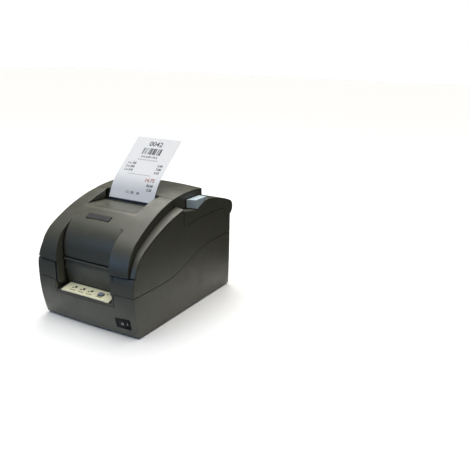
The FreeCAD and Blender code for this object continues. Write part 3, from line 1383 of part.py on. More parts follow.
def make_paper():
    """Roll with its core in a cradle, the web that leaves it and the receipt standing out of the exit."""
    at = ("bucket_y", "roll_z")
    ends = ("-paper_half", "paper_half")
    part("paper_roll", cut("paper_roll", rod("roll_body", "x", "roll_radius", ends, at),
                           rod("roll_hole", "x", "core_outer", ("-half", "half"), at)))
    part("roll_core", cut("roll_core", rod("core_body", "x", "core_outer", ends, at),
                          rod("core_hole", "x", "core_inner", ("-half", "half"), at)))
    cradle = ("bucket_y", "bucket_z")
    outer = "bucket_radius + bucket_thick"
    reach = "paper_half + roll_side_gap + bucket_thick"
    body = rod("cradle_body", "x", outer, (f"-({reach})", reach), cradle)
    space = rod("cradle_space", "x", "bucket_radius",
                ("-paper_half - roll_side_gap", "paper_half + roll_side_gap"), cradle)
    rib = box("cradle_rib", ("paper_half - 2 * boss_radius", "paper_half - boss_radius"),
              ("bucket_y - bucket_radius / 2", "bucket_y + bucket_radius / 2"),
              ("floor + wall", "bucket_z - bucket_radius / 2"))
    upper = box("cradle_upper", ("-half", "half"), ("-far", "far"), ("bucket_z", "far"))
    access = rod("cradle_access", "x", "2 * core_outer", ("-half", "half"), cradle)
    part("roll_bucket",
         cut("roll_bucket", fuse("cradle_whole", body, both("cradle_ribs", rib)), space, upper, access))
    sine, cosine = "sin(web_angle)", "cos(web_angle)"
    near, far_side = "(roll_radius + paper_gap)", "(roll_radius + paper_gap + paper_thick)"
    wrap = "(guide_radius + paper_thick)"
    part("paper_web", prism("paper_web", "yz", [
        ("web_front", "receipt_low - roll_gap"),
        ("web_front", "guide_z", wrap),
        (f"guide_y + {wrap} * {sine}", f"guide_z - {wrap} * {cosine}"),
        (f"bucket_y - {near} * {sine}", f"roll_z + {near} * {cosine}"),
        (f"bucket_y - {far_side} * {sine}", f"roll_z + {far_side} * {cosine}"),
        (f"guide_y + guide_radius * {sine}", f"guide_z - guide_radius * {cosine}", "-guide_radius"),
        ("web_rear", "guide_z"),
        ("web_rear", "receipt_low - roll_gap"),
    ], ends))
    part("receipt", prism("receipt", "yz", receipt_side("-") + receipt_side("")[::-1], ends))


def receipt_side(sign):
    """Points along one face of the receipt, from the exit to its torn end; the arcs keep their own radii."""
    off = f"({sign}paper_thick / 2)"
    low = f"(paper_bend - {off})"
    high = f"(receipt_bend - {off})"
    turn_y = "(paper_y + paper_bend * (1 - sin(paper_lean)) + receipt_straight * cos(paper_lean)" \
             " + receipt_bend * sin(paper_lean))"
    turn_z = "(paper_bend_z + paper_bend * cos(paper_lean) + receipt_straight * sin(paper_lean)" \
             " - receipt_bend * cos(paper_lean))"
    places = [
        (f"paper_y + {off}", "receipt_low"),
        (f"paper_y + {off}", "paper_bend_z"),
        (f"paper_y + paper_bend - {low} * sin(paper_lean)", f"paper_bend_z + {low} * cos(paper_lean)"),
        (f"{turn_y} - {high} * sin(paper_lean)", f"{turn_z} + {high} * cos(paper_lean)"),
        (f"{turn_y} - {high} * sin(receipt_lean)", f"{turn_z} + {high} * cos(receipt_lean)"),
        (f"{turn_y} - {high} * sin(receipt_lean) + receipt_tail * cos(receipt_lean)",
         f"{turn_z} + {high} * cos(receipt_lean) + receipt_tail * sin(receipt_lean)"),
    ]
    arcs = {1: f"-{low}", 3: f"-{high}"} if sign else {2: low, 4: high}
    return [place + ((arcs[index],) if index in arcs else ()) for index, place in enumerate(places)]


def make_tear_bar():
    """Tear bar on the floor of the scoop: a foot and an upright blade close to the paper."""
    slope = "(scoop_front_z - scoop_floor) / (paper_edge - scoop_front)"
    def floor_at(back):
        return (f"paper_edge - {back}", f"scoop_floor + {back} * {slope}")
    def foot_at(back):
        return (f"paper_edge - {back}", f"scoop_floor + {back} * {slope} + tear_thick")
    part("tear_bar", prism("tear_bar", "yz", [
        floor_at("tear_width"),
        ("paper_edge", "scoop_floor"),
        ("paper_edge", "scoop_floor + tear_height"),
        ("paper_edge - tear_thick", "scoop_floor + tear_height"),
        foot_at("tear_thick"),
        foot_at("tear_width"),
    ], ("-paper_half - wall", "paper_half + wall")))


def make_main_board():
    """Main circuit board on its pillars, with a few large components."""
    half, top = "(plate_x - 4 * boss_radius)", "board_z + board_thick"
    board = box("board_slab", (f"-{half}", half),
                ("plate_front + boss_radius", "plate_back - boss_radius"), ("board_z", top))
    chip = box("board_chip", ("-2 * boss_radius", "2 * boss_radius"),
               ("shaft_y", "shaft_y + 4 * boss_radius"),
               (top, f"{top} + board_thick"))
    link = box("board_link", (f"-{half} + boss_radius", f"-{half} + 2 * boss_radius"),
               ("rod_y", "plate_back - 4 * boss_radius"),
               (top, f"{top} + boss_radius"))
    caps = [rod(f"board_cap_{index}", "z", "boss_radius", (top, f"{top} + 1.5 * boss_radius"),
                (f"{half} - 2 * boss_radius",
                 f"plate_back - {3 + 3 * index} * boss_radius")) for index in range(2)]
    part("main_board", fuse("main_board", board, chip, link, *caps))


def export_parts():
    """Check every object, then write one STEP file for each sub-part."""
    DOC.recompute()
    failed = [thing.Name for thing in DOC.Objects if {"Invalid", "Error"} & set(thing.State)]
    if failed:
        raise RuntimeError(f"objects failed to recompute: {failed}")
    for solid in PARTS:
        if solid.Shape.isNull() or not solid.Shape.isValid():
            raise RuntimeError(f"{solid.Label} has no valid shape")
    os.makedirs("parts", exist_ok=True)
    for solid in PARTS:
        solid.Shape.exportStep(f"parts/{solid.Label}.step")
        print(solid.Label, len(solid.Shape.Solids), round(solid.Shape.Volume / 1000, 2), "cm3")


fill_sheet()
make_lower_case()
make_upper_case()
make_front_cover()
make_rear_cover()
make_feet_and_screws()
make_ports()
make_panel()
make_switch()
make_hinge_pins()
make_lever()
make_mech_frame()
make_carriage()
make_ribbon()
make_feed()
make_paper()
make_tear_bar()
make_main_board()
export_parts()
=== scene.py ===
"""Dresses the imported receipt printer: finishes, softened shells, paper, print and studio."""

import json
import logging
import math
from abc import ABC, abstractmethod
from dataclasses import dataclass
from enum import Enum
from typing import Callable, Iterator

import bpy
from mathutils import Euler, Matrix, Quaternion, Vector

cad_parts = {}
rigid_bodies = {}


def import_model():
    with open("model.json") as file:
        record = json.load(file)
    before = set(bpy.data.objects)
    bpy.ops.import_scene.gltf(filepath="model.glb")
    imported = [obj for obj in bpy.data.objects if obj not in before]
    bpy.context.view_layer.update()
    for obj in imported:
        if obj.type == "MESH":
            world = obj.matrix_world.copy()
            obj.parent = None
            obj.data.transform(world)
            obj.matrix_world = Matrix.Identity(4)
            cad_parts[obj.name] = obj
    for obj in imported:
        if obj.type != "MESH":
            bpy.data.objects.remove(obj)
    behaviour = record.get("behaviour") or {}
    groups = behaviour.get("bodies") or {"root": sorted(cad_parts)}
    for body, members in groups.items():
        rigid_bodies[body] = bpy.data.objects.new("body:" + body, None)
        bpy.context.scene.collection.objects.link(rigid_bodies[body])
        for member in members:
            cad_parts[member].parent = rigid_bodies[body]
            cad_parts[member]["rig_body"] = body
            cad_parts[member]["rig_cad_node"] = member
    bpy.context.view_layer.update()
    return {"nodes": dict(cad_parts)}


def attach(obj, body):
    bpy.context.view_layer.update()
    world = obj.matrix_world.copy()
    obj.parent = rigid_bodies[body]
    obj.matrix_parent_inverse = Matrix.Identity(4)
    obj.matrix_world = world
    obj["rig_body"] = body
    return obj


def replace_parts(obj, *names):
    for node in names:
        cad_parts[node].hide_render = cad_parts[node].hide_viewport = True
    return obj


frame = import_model()

LOG = logging.getLogger("receipt_printer")

# One millimetre in metres. Sizes are in millimetres unless a comment says otherwise.
MM = 0.001
# Points of a copied node that lie closer than this become one.
WELD = 0.1
# Faces of a copied node that meet at less than this become one, in degrees.
FLAT = 0.2
# Edges that turn by more than this count as sharp, in degrees.
SHARP = 35.0
# The least share of a face's normal along Z or X for it to look up or sideways.
UPWARD = 0.9
SIDEWAYS = 0.99
# The rounding of printed bars, and the least turn of the edges that get it, in degrees.
INK_ROUND = 0.02
INK_SHARP = 60.0
# The stretch of a noise factor that is spread over a whole range.
MIDDLE = (0.3, 0.7)

Colour = tuple[float, float, float]
Triple = tuple[float, float, float]
Pair = tuple[float, float]
# A noise: the width of a patch, and the octaves of finer noise in it.
Pattern = tuple[float, float]
Socket = bpy.types.NodeSocket
Piece = bpy.types.Object
FaceTest = Callable[[Vector], bool]


class Slot(Enum):
    """Material slots of the record."""

    CASE = "case_dark"
    COVER = "cover_dark"
    LEVER = "lever_blue"
    PANEL = "panel_cream"
    BUTTON = "button_blue"
    LAMPS = "lamps"
    SWITCH = "switch_black"
    RUBBER = "rubber"
    STEEL = "steel"
    MOTOR = "motor"
    INNER = "inner_black"
    HEAD = "head_metal"
    BOARD = "board_green"
    PORTS = "ports"
    PAPER = "paper"
    CARD = "card"


class Body(Enum):
    """Bodies of the frame that new pieces ride on."""

    CASE = "case"
    FRONT_LID = "front_lid"
    REAR_LID = "rear_lid"
    ROCKER = "rocker"


class NodeBench:
    """Adds and wires the nodes of one material."""

    # Places of the colour sockets of a Mix node.
    MIX_FACTOR, MIX_BELOW, MIX_ABOVE, MIX_RESULT = 0, 6, 7, 2
    # How far the softened normal keeps to the face's own, where an edge begins and where it is full.
    EDGE_TURN: Pair = (0.99, 0.85)
    EDGE_SAMPLES = 4
    # The share of open sky round a point, where a crevice begins and where it is full.
    CREVICE_LIGHT: Pair = (0.97, 0.75)
    CREVICE_SAMPLES = 6

    def __init__(self, name: str) -> None:
        """Starts a material.

        Args:
            name: the material's name.
        """
        self.material = bpy.data.materials.new(name)
        self.material.use_nodes = True
        self.tree = self.material.node_tree
        self.shader = self.tree.nodes["Principled BSDF"]
        self.place = self.add("ShaderNodeTexCoord").outputs["Object"]

    def add(self, kind: str, **settings: object) -> bpy.types.Node:
        """Adds a node.

        Args:
            kind: the node's type name.
            settings: properties to set on it.

        Returns:
            The new node.
        """
        node = self.tree.nodes.new(kind)
        for key, value in settings.items():
            setattr(node, key, value)
        return node

    def wire(self, source: Socket, target: Socket) -> None:
        """Links an output to an input."""
        self.tree.links.new(source, target)

    def drive(self, socket: str, source: Socket) -> None:
        """Links an output to one of the shader's inputs."""
        self.wire(source, self.shader.inputs[socket])

    def fix(self, **values: object) -> None:
        """Sets constants on the shader, with underscores for the spaces in a socket's name."""
        for key, value in values.items():
            self.shader.inputs[key.replace("_", " ")].default_value = value

    def stretched(self, stretch: Triple) -> Socket:
        """Scales the Object coordinates.

        Args:
            stretch: the scale on each axis.

        Returns:
            The scaled coordinates.
        """
        node = self.add("ShaderNodeMapping")
        node.inputs["Scale"].default_value = stretch
        self.wire(self.place, node.inputs["Vector"])
        return node.outputs["Vector"]

    def noise(self, size: float, detail: float = 2.0, stretch: Triple | None = None) -> Socket:
        """Adds noise.

        Args:
            size: the width of a patch.
            detail: octaves of finer noise.
            stretch: scale on each axis, for streaks.

        Returns:
            The factor output, from 0 to 1.
        """
        node = self.add("ShaderNodeTexNoise")
        node.inputs["Scale"].default_value = 1 / (size * MM)
        node.inputs["Detail"].default_value = detail
        source = self.stretched(stretch) if stretch else self.place
        self.wire(source, node.inputs["Vector"])
        return node.outputs["Fac"]

    def cells(self, size: float) -> Socket:
        """Adds Voronoi cells.

        Args:
            size: the width of a cell.

        Returns:
            The distance from the cell's middle.
        """
        node = self.add("ShaderNodeTexVoronoi")
        node.inputs["Scale"].default_value = 1 / (size * MM)
        self.wire(self.place, node.inputs["Vector"])
        return node.outputs["Distance"]

    def span(self, source: Socket, start: float, end: float, low: float, high: float) -> Socket:
        """Maps a range of a factor.

        Args:
            source: the factor.
            start: its value at low.
            end: its value at high.
            low: the result at start.
            high: the result at end.

        Returns:
            The mapped and clamped value.
        """
        node = self.add("ShaderNodeMapRange")
        for key, value in (("From Min", start), ("From Max", end), ("To Min", low), ("To Max", high)):
            node.inputs[key].default_value = value
        self.wire(source, node.inputs["Value"])
        return node.outputs["Result"]

    def times(self, first: Socket, second: Socket) -> Socket:
        """Multiplies two values.

        Args:
            first: one value.
            second: the other.

        Returns:
            Their product.
        """
        node = self.add("ShaderNodeMath", operation="MULTIPLY")
        self.wire(first, node.inputs[0])
        self.wire(second, node.inputs[1])
        return node.outputs[0]

    def shades(self, source: Socket, dark: Colour, light: Colour) -> Socket:
        """Blends two colours by the middle stretch of a noise factor.

        Args:
            source: the factor.
            dark: the colour where it is low.
            light: the colour where it is high.

        Returns:
            The blended colour.
        """
        node = self.add("ShaderNodeValToRGB")
        for stop, place, colour in zip(node.color_ramp.elements, MIDDLE, (dark, light)):
            stop.position = place
            stop.color = (*colour, 1.0)
        self.wire(source, node.inputs["Fac"])
        return node.outputs["Color"]

    def over(self, mask: Socket, base: Socket, top: Colour) -> Socket:
        """Lays a colour over another by a mask.

        Args:
            mask: 0 for the base and 1 for the top.
            base: the colour below.
            top: the colour above.

        Returns:
            The mixed colour.
        """
        node = self.add("ShaderNodeMix", data_type="RGBA")
        self.wire(mask, node.inputs[self.MIX_FACTOR])
        self.wire(base, node.inputs[self.MIX_BELOW])
        node.inputs[self.MIX_ABOVE].default_value = (*top, 1.0)
        return node.outputs[self.MIX_RESULT]

    def paint(self, pattern: Pattern, dark: Colour, light: Colour) -> None:
        """Gives the surface patches of two colours."""
        self.drive("Base Color", self.shades(self.noise(*pattern), dark, light))

    def polish(self, source: Socket, roughness: Pair, mean: float = 0.0) -> None:
        """Gives the surface a patchy gloss, by a noise factor, between two roughnesses from a mean."""
        self.drive("Roughness", self.span(source, *MIDDLE, *(mean + part for part in roughness)))

    def rounded(self, radius: float) -> tuple[Socket, Socket]:
        """Finds the edges of a piece.

        Args:
            radius: how far an edge reaches.

        Returns:
            The softened normal, and a mask of the edges.
        """
        soft = self.add("ShaderNodeBevel", samples=self.EDGE_SAMPLES)
        soft.inputs["Radius"].default_value = radius * MM
        plain = self.add("ShaderNodeNewGeometry")
        dot = self.add("ShaderNodeVectorMath", operation="DOT_PRODUCT")
        self.wire(soft.outputs["Normal"], dot.inputs[0])
        self.wire(plain.outputs["Normal"], dot.inputs[1])
        return soft.outputs["Normal"], self.span(dot.outputs["Value"], *self.EDGE_TURN, 0.0, 1.0)

    def crevices(self, reach: float) -> Socket:
        """Finds seams and inner corners, by how little open sky reaches them, for painted shade.

        Args:
            reach: how far away a face still shades another.

        Returns:
            A mask of them.
        """
        node = self.add("ShaderNodeAmbientOcclusion", samples=self.CREVICE_SAMPLES)
        node.inputs["Distance"].default_value = reach * MM
        return self.span(node.outputs["AO"], *self.CREVICE_LIGHT, 0.0, 1.0)

    def relief(self, height: Socket, depth: float, normal: Socket | None = None) -> None:
        """Gives the surface a bump.

        Args:
            height: the factor that sets the height.
            depth: the height of factor 1.
            normal: a normal to start from.
        """
        node = self.add("ShaderNodeBump")
        node.inputs["Distance"].default_value = depth * MM
        self.wire(height, node.inputs["Height"])
        if normal:
            self.wire(normal, node.inputs["Normal"])
        self.drive("Normal", node.outputs["Normal"])


@dataclass(frozen=True)
class Finish(ABC):
    """A finish that can make its material."""

    name: str

    def make(self) -> bpy.types.Material:
        """Builds the material.

        Returns:
            The material.
        """
        bench = NodeBench(self.name)
        self.lay(bench)
        return bench.material

    @abstractmethod
    def lay(self, bench: NodeBench) -> None:
        """Lays the material's nodes on its bench."""


@dataclass(frozen=True)
class MouldedPlastic(Finish):
    """Moulded plastic with an eroded grain, patchy gloss, painted shade in seams and inner corners, and
    paler worn edges.
    """

    colour: Colour
    shade: Colour
    roughness: float = 0.5
    grain: float = 0.8
    depth: float = 0.03
    wear: float = 0.4
    edge: float = 0.7
    specular: float = 0.4
    # How far away a face still casts painted shade on another, in seams and inner corners.
    shade_reach: float = 2.6
    cloud: Pattern = (38.0, 3.0)
    rub: Pattern = (3.5, 4.0)
    rub_stretch: Pair = (0.42, 0.7)
    gloss: Pattern = (14.0, 4.0)
    gloss_range: Pair = (-0.07, 0.08)
    paling: float = 1.9
    dust: float = 0.02
    # The colour of the painted shade in seams and corners, as a share of the plastic's colour.
    shade_darkness: float = 0.12

    def lay(self, bench: NodeBench) -> None:
        """Lays the nodes.

        Args:
            bench: the material's bench.
        """
        colour = bench.shades(bench.noise(*self.cloud), self.shade, self.colour)
        normal, edges = bench.rounded(self.edge)
        rubbed = bench.times(edges, bench.span(bench.noise(*self.rub), *self.rub_stretch, 0.0, self.wear))
        pale = tuple(min(1.0, self.paling * part + self.dust) for part in self.colour)
        # Seams and inner corners get painted shade: the colour darkens where little open sky reaches.
        painted_shade = tuple(self.shade_darkness * part for part in self.colour)
        worn = bench.over(rubbed, colour, pale)
        bench.drive("Base Color", bench.over(bench.crevices(self.shade_reach), worn, painted_shade))
        bench.polish(bench.noise(*self.gloss), self.gloss_range, self.roughness)
        bench.relief(bench.noise(self.grain), self.depth, normal)
        bench.fix(Specular_IOR_Level=self.specular)


@dataclass(frozen=True)
class DrawnMetal(Finish):
    """Bright metal with drawing lines along one axis and faint stains."""

    colour: Colour
    stain: Colour
    roughness: float = 0.32
    stretch: Triple = (0.05, 1.0, 1.0)
    blemish: Pattern = (16.0, 4.0)
    line: Pattern = (0.35, 3.0)
    gloss_range: Pair = (-0.08, 0.12)
    depth: float = 0.012

    def lay(self, bench: NodeBench) -> None:
        """Lays the nodes.

        Args:
            bench: the material's bench.
        """
        bench.paint(self.blemish, self.stain, self.colour)
        lines = bench.noise(*self.line, self.stretch)
        bench.polish(lines, self.gloss_range, self.roughness)
        bench.relief(lines, self.depth)
        bench.fix(Metallic=1.0)


@dataclass(frozen=True)
class SoftRubber(Finish):
    """Dull rubber with a fine pitted skin and dusty patches."""

    colour: Colour
    dust: Colour
    pit: float = 0.6
    depth: float = 0.05
    dusting: Pattern = (9.0, 5.0)
    sheen: Pattern = (4.0, 2.0)
    roughness: Pair = (0.72, 0.92)
    specular: float = 0.25

    def lay(self, bench: NodeBench) -> None:
        """Lays the nodes.

        Args:
            bench: the material's bench.
        """
        bench.paint(self.dusting, self.colour, self.dust)
        bench.polish(bench.noise(*self.sheen), self.roughness)
        bench.relief(bench.cells(self.pit), self.depth)
        bench.fix(Specular_IOR_Level=self.specular)


@dataclass(frozen=True)
class FibreStock(Finish):
    """Paper or card: short fibres, faint cloudiness and a matt face."""

    colour: Colour
    cloud: Colour
    fibre: float = 0.5
    depth: float = 0.02
    glow: float = 0.0
    clouding: Pattern = (7.0, 5.0)
    fibre_octaves: float = 4.0
    fibre_stretch: Triple = (1.0, 0.3, 0.3)
    roughness: Pair = (0.72, 0.9)
    specular: float = 0.2
    scatter: Triple = (1.0, 1.0, 1.0)

    def lay(self, bench: NodeBench) -> None:
        """Lays the nodes.

        Args:
            bench: the material's bench.
        """
        bench.paint(self.clouding, self.cloud, self.colour)
        fibres = bench.noise(self.fibre, self.fibre_octaves, self.fibre_stretch)
        bench.polish(fibres, self.roughness)
        bench.relief(fibres, self.depth)
        bench.fix(Specular_IOR_Level=self.specular)
        bench.fix(Subsurface_Weight=self.glow, Subsurface_Scale=MM, Subsurface_Radius=self.scatter)


@dataclass(frozen=True)
class CoatedBoard(Finish):
    """A circuit board: green lacquer over tracks and a weave of glass."""

    lacquer: Colour
    track: Colour
    weave: tuple[tuple[str, float], ...] = (
        ("Scale", 90.0), ("Mortar Size", 0.06), ("Brick Width", 0.9), ("Row Height", 0.22))
    patch: Pattern = (11.0, 2.0)
    patch_stretch: Pair = (0.45, 0.55)
    mottle: Pattern = (5.0, 3.0)
    mottle_gain: float = 1.25
    gloss: Pattern = (2.0, 2.0)
    roughness: Pair = (0.28, 0.42)
    depth: float = 0.04

    def lay(self, bench: NodeBench) -> None:
        """Lays the nodes.

        Args:
            bench: the material's bench.
        """
        bricks = bench.add("ShaderNodeTexBrick")
        bench.wire(bench.place, bricks.inputs["Vector"])
        for key, value in self.weave:
            bricks.inputs[key].default_value = value
        laid = bench.span(bench.noise(*self.patch), *self.patch_stretch, 0.0, 1.0)
        tracks = bench.times(bricks.outputs["Fac"], laid)
        light = tuple(self.mottle_gain * part for part in self.lacquer)
        plain = bench.shades(bench.noise(*self.mottle), self.lacquer, light)
        bench.drive("Base Color", bench.over(tracks, plain, self.track))
        bench.polish(bench.noise(*self.gloss), self.roughness)
        bench.relief(tracks, self.depth)


@dataclass(frozen=True)
class LampLens(Finish):
    """A smoked lens over a lamp that is off, with patches of painted glint."""

    colour: Colour
    glint_colour: Colour
    # Patches of painted glint in the second colour, over the lens's own dark colour.
    glint: Pattern = (1.6, 2.0)
    sheen: Pattern = (0.9, 2.0)
    ripple: Pattern = (0.7, 2.0)
    roughness: Pair = (0.1, 0.22)
    depth: float = 0.01
    coat: float = 0.6
    coat_roughness: float = 0.08

    def lay(self, bench: NodeBench) -> None:
        """Lays the nodes.

        Args:
            bench: the material's bench.
        """
        bench.paint(self.glint, self.colour, self.glint_colour)
        bench.polish(bench.noise(*self.sheen), self.roughness)
        bench.relief(bench.noise(*self.ripple), self.depth)
        bench.fix(Coat_Weight=self.coat, Coat_Roughness=self.coat_roughness)


@dataclass(frozen=True)
class Ink(Finish):
    """Printed ink that thins out unevenly."""

    colour: Colour
    thin: Colour
    blot: Pattern = (0.5, 3.0)
    roughness: Pair = (0.6, 0.85)
    depth: float = 0.01

    def lay(self, bench: NodeBench) -> None:
        """Lays the nodes.

        Args:
            bench: the material's bench.
        """
        cover = bench.noise(*self.blot)
        bench.drive("Base Color", bench.shades(cover, self.colour, self.thin))
        bench.polish(cover, self.roughness)
        bench.relief(cover, self.depth)


# Each plastic below darkens its seams and inner corners with painted shade.
CASE_PLASTIC = MouldedPlastic(
    "case_charcoal", (0.08, 0.079, 0.061), (0.076, 0.075, 0.058), roughness=0.42, wear=0.1)
COVER_PLASTIC = MouldedPlastic(
    "cover_charcoal", (0.08, 0.08, 0.062), (0.076, 0.076, 0.059), roughness=0.38, wear=0.1)
BADGE_PLASTIC = MouldedPlastic(
    "bare_badge", (0.03, 0.03, 0.032), (0.022, 0.022, 0.024), roughness=0.3, grain=0.6, depth=0.012)
LEVER_PLASTIC = MouldedPlastic(
    "lever_grey_blue", (0.52, 0.62, 0.68), (0.49, 0.58, 0.64), roughness=0.45, wear=0.1, shade_reach=2.0)
PANEL_PLASTIC = MouldedPlastic(
    "panel_cream", (0.9, 0.86, 0.6), (0.87, 0.83, 0.57), grain=0.6, depth=0.015, wear=0.2, shade_reach=1.2)
BUTTON_PLASTIC = MouldedPlastic(
    "button_blue", (0.22, 0.25, 0.31), (0.18, 0.21, 0.26),
    roughness=0.36, grain=0.5, depth=0.015, wear=0.3, edge=0.4)
SWITCH_PLASTIC = MouldedPlastic(
    "switch_black", (0.01, 0.01, 0.011), (0.008, 0.008, 0.008),
    roughness=0.45, grain=0.5, depth=0.015, wear=0.1, edge=0.4, specular=0.15)
INNER_PLASTIC = MouldedPlastic(
    "inner_black", (0.03, 0.03, 0.031), (0.022, 0.022, 0.023), roughness=0.55)
PORT_PLASTIC = MouldedPlastic(
    "port_black", (0.02, 0.02, 0.021), (0.014, 0.014, 0.015), roughness=0.4, grain=0.5, depth=0.02)
MOTOR_SHELL = MouldedPlastic(
    "motor_enamel", (0.06, 0.062, 0.066), (0.045, 0.046, 0.05),
    roughness=0.38, grain=1.2, depth=0.02, wear=0.8)
STEEL = DrawnMetal("drawn_steel", (0.62, 0.62, 0.61), (0.5, 0.49, 0.48))
HEAD_METAL = DrawnMetal(
    "cast_head", (0.42, 0.42, 0.43), (0.34, 0.34, 0.35), roughness=0.42, stretch=(1.0, 1.0, 0.2))
# Dark steel for the blade, whose darkness also stands for painted shade in the paper slot behind it.
BLADE_STEEL_AND_SLOT_SHADE = DrawnMetal("blade_steel_and_slot_shade", (0.1, 0.1, 0.1), (0.07, 0.07, 0.07), roughness=0.42)
FOOT_RUBBER = SoftRubber("foot_rubber", (0.018, 0.018, 0.018), (0.035, 0.034, 0.032))
BELT_RUBBER = SoftRubber("belt_rubber", (0.014, 0.014, 0.014), (0.022, 0.022, 0.022), pit=0.4)
PAPER = FibreStock("receipt_paper", (0.9, 0.89, 0.89), (0.88, 0.87, 0.87), glow=0.25)
CARD = FibreStock("core_card", (0.42, 0.3, 0.18), (0.34, 0.24, 0.14), fibre=0.8, depth=0.05)
BOARD = CoatedBoard("board_lacquer", (0.012, 0.075, 0.032), (0.03, 0.16, 0.07))
# The lens's second colour is its painted glint.
LENS = LampLens("lamp_lens", (0.01, 0.012, 0.011), (0.02, 0.035, 0.022))
BLACK_INK = Ink("ribbon_black", (0.03, 0.03, 0.034), (0.13, 0.13, 0.14))
RED_INK = Ink("ribbon_red", (0.36, 0.05, 0.04), (0.6, 0.26, 0.22))
MARK_INK = Ink("panel_mark", (0.02, 0.02, 0.018), (0.06, 0.06, 0.05))
WHITE_INK = Ink("switch_mark", (0.75, 0.75, 0.74), (0.6, 0.6, 0.6))


class Paintbox:
    """Makes each finish once and dresses pieces with it."""

    _made: dict[str, bpy.types.Material] = {}

    @classmethod
    def dress(cls, piece: Piece, finish: Finish) -> None:
        """Gives a piece its finish alone.

        Args:
            piece: the piece.
            finish: its finish.
        """
        if finish.name not in cls._made:
            cls._made[finish.name] = finish.make()
        piece.data.materials.clear()
        piece.data.materials.append(cls._made[finish.name])


class Workshop:
    """Modelling steps, as by hand."""

    @staticmethod
    def pick(*pieces: Piece) -> None:
        """Selects only these pieces, the last one active.

        Args:
            pieces: what to select.
        """
        bpy.ops.object.select_all(action="DESELECT")
        for piece in pieces:
            piece.select_set(True)
            bpy.context.view_layer.objects.active = piece

    @staticmethod
    def settle(name: str) -> Piece:
        """Names the active object and puts its place into its mesh.

        Args:
            name: the piece's name.

        Returns:
            The object.
        """
        piece = bpy.context.active_object
        piece.name = name
        piece.data.name = name
        bpy.ops.object.transform_apply(location=True, rotation=True, scale=True)
        return piece

    @staticmethod
    def block(name: str, centre: Triple, size: Triple, tilt: Triple = (0.0, 0.0, 0.0)) -> Piece:
        """Adds a block.

        Args:
            name: the piece's name.
            centre: its middle.
            size: its lengths.
            tilt: its turn about each axis in radians.

        Returns:
            The block.
        """
        bpy.ops.mesh.primitive_cube_add(size=1.0, location=Vector(centre) * MM, rotation=tilt)
        bpy.context.active_object.scale = Vector(size) * MM
        return Workshop.settle(name)

    @staticmethod
    def ink_bar(name: str, centre: Triple, size: Triple, tilt: Triple = (0.0, 0.0, 0.0)) -> Piece:
        """Adds a thin printed bar with blunt corners.

        Args:
            name: the piece's name.
            centre: its middle.
            size: its lengths.
            tilt: its turn about each axis in radians.

        Returns:
            The bar.
        """
        bar = Workshop.block(name, centre, size, tilt)
        Workshop.soften(bar, INK_ROUND, 1, INK_SHARP)
        return bar

    @staticmethod
    def everything(piece: Piece) -> None:
        """Opens edit mode with all faces of a piece selected.

        Args:
            piece: the piece to edit.
        """
        Workshop.pick(piece)
        bpy.context.tool_settings.mesh_select_mode = (False, False, True)
        bpy.ops.object.mode_set(mode="EDIT")
        bpy.ops.mesh.select_all(action="SELECT")

    @staticmethod
    def faces(piece: Piece, test: FaceTest) -> None:
        """Opens edit mode with the faces that pass a test selected.

        Args:
            piece: the piece to edit.
            test: takes a face's normal.
        """
        Workshop.everything(piece)
        bpy.ops.mesh.select_all(action="DESELECT")
        Workshop.close_edit()
        for face in piece.data.polygons:
            face.select = test(face.normal)
        bpy.ops.object.mode_set(mode="EDIT")

    @staticmethod
    def close_edit() -> None:
        """Goes back to object mode."""
        bpy.ops.object.mode_set(mode="OBJECT")

    @staticmethod
    def close_outward() -> None:
        """Turns the open piece's faces outwards and goes back to object mode."""
        bpy.ops.mesh.select_all(action="SELECT")
        bpy.ops.mesh.normals_make_consistent(inside=False)
        Workshop.close_edit()

    @staticmethod
    def modify(piece: Piece, kind: str, **settings: object) -> None:
        """Adds a modifier, sets it and applies it.

        Args:
            piece: the piece.
            kind: the modifier's type name.
            settings: its properties.
        """
        Workshop.pick(piece)
        step = piece.modifiers.new(kind.lower(), kind)
        for key, value in settings.items():
            setattr(step, key, value)
        bpy.ops.object.modifier_apply(modifier=step.name)

    @staticmethod
    def soften(piece: Piece, width: float, segments: int = 2, angle: float = SHARP) -> None:
        """Rounds the sharp edges of a piece.

        Args:
            piece: the piece.
            width: the width of the rounding.
            segments: its steps.
            angle: the least angle of a sharp edge in degrees.
        """
        Workshop.modify(
            piece, "BEVEL", width=width * MM, segments=segments, limit_method="ANGLE",
            angle_limit=math.radians(angle), use_clamp_overlap=False)

    @staticmethod
    def confine(piece: Piece, shape: Piece) -> None:
        """Draws the points of a piece that stand out of a shape back onto the shape."""
        Workshop.modify(
            piece, "SHRINKWRAP", target=shape, wrap_method="NEAREST_SURFACEPOINT", wrap_mode="INSIDE")

    @staticmethod
    def smooth(piece: Piece) -> None:
        """Shades a piece smooth, with its sharp edges kept.

        Args:
            piece: the piece.
        """
        Workshop.pick(piece)
        bpy.ops.object.shade_smooth_by_angle(angle=math.radians(SHARP))
        Workshop.modify(piece, "WEIGHTED_NORMAL", keep_sharp=True)

    @staticmethod
    def join(name: str, pieces: list[Piece]) -> Piece:
        """Joins pieces into one.

        Args:
            name: the new name.
            pieces: what to join.

        Returns:
            The joined piece.
        """
        Workshop.pick(*pieces)
        if len(pieces) > 1:
            bpy.ops.object.join()
        return Workshop.settle(name)

    @staticmethod
    def thicken(piece: Piece, thick: float, side: float) -> None:
        """Makes a closed body of a sheet, which lies in its middle for side 0 and in front for -1."""
        Workshop.modify(piece, "SOLIDIFY", thickness=thick * MM, offset=side)

    @staticmethod
    def hit(target: Piece, start: Vector, way: Vector) -> tuple[Vector, Vector]:
        """Finds where a line meets a piece.

        Args:
            target: the piece.
            start: the start of the line.
            way: its direction.

        Returns:
            The point and the normal there.
        """
        found, point, normal, _ = target.ray_cast(start * MM, way)
        if not found:
            raise ValueError(f"nothing of {target.name} lies in that line")
        return point / MM, normal


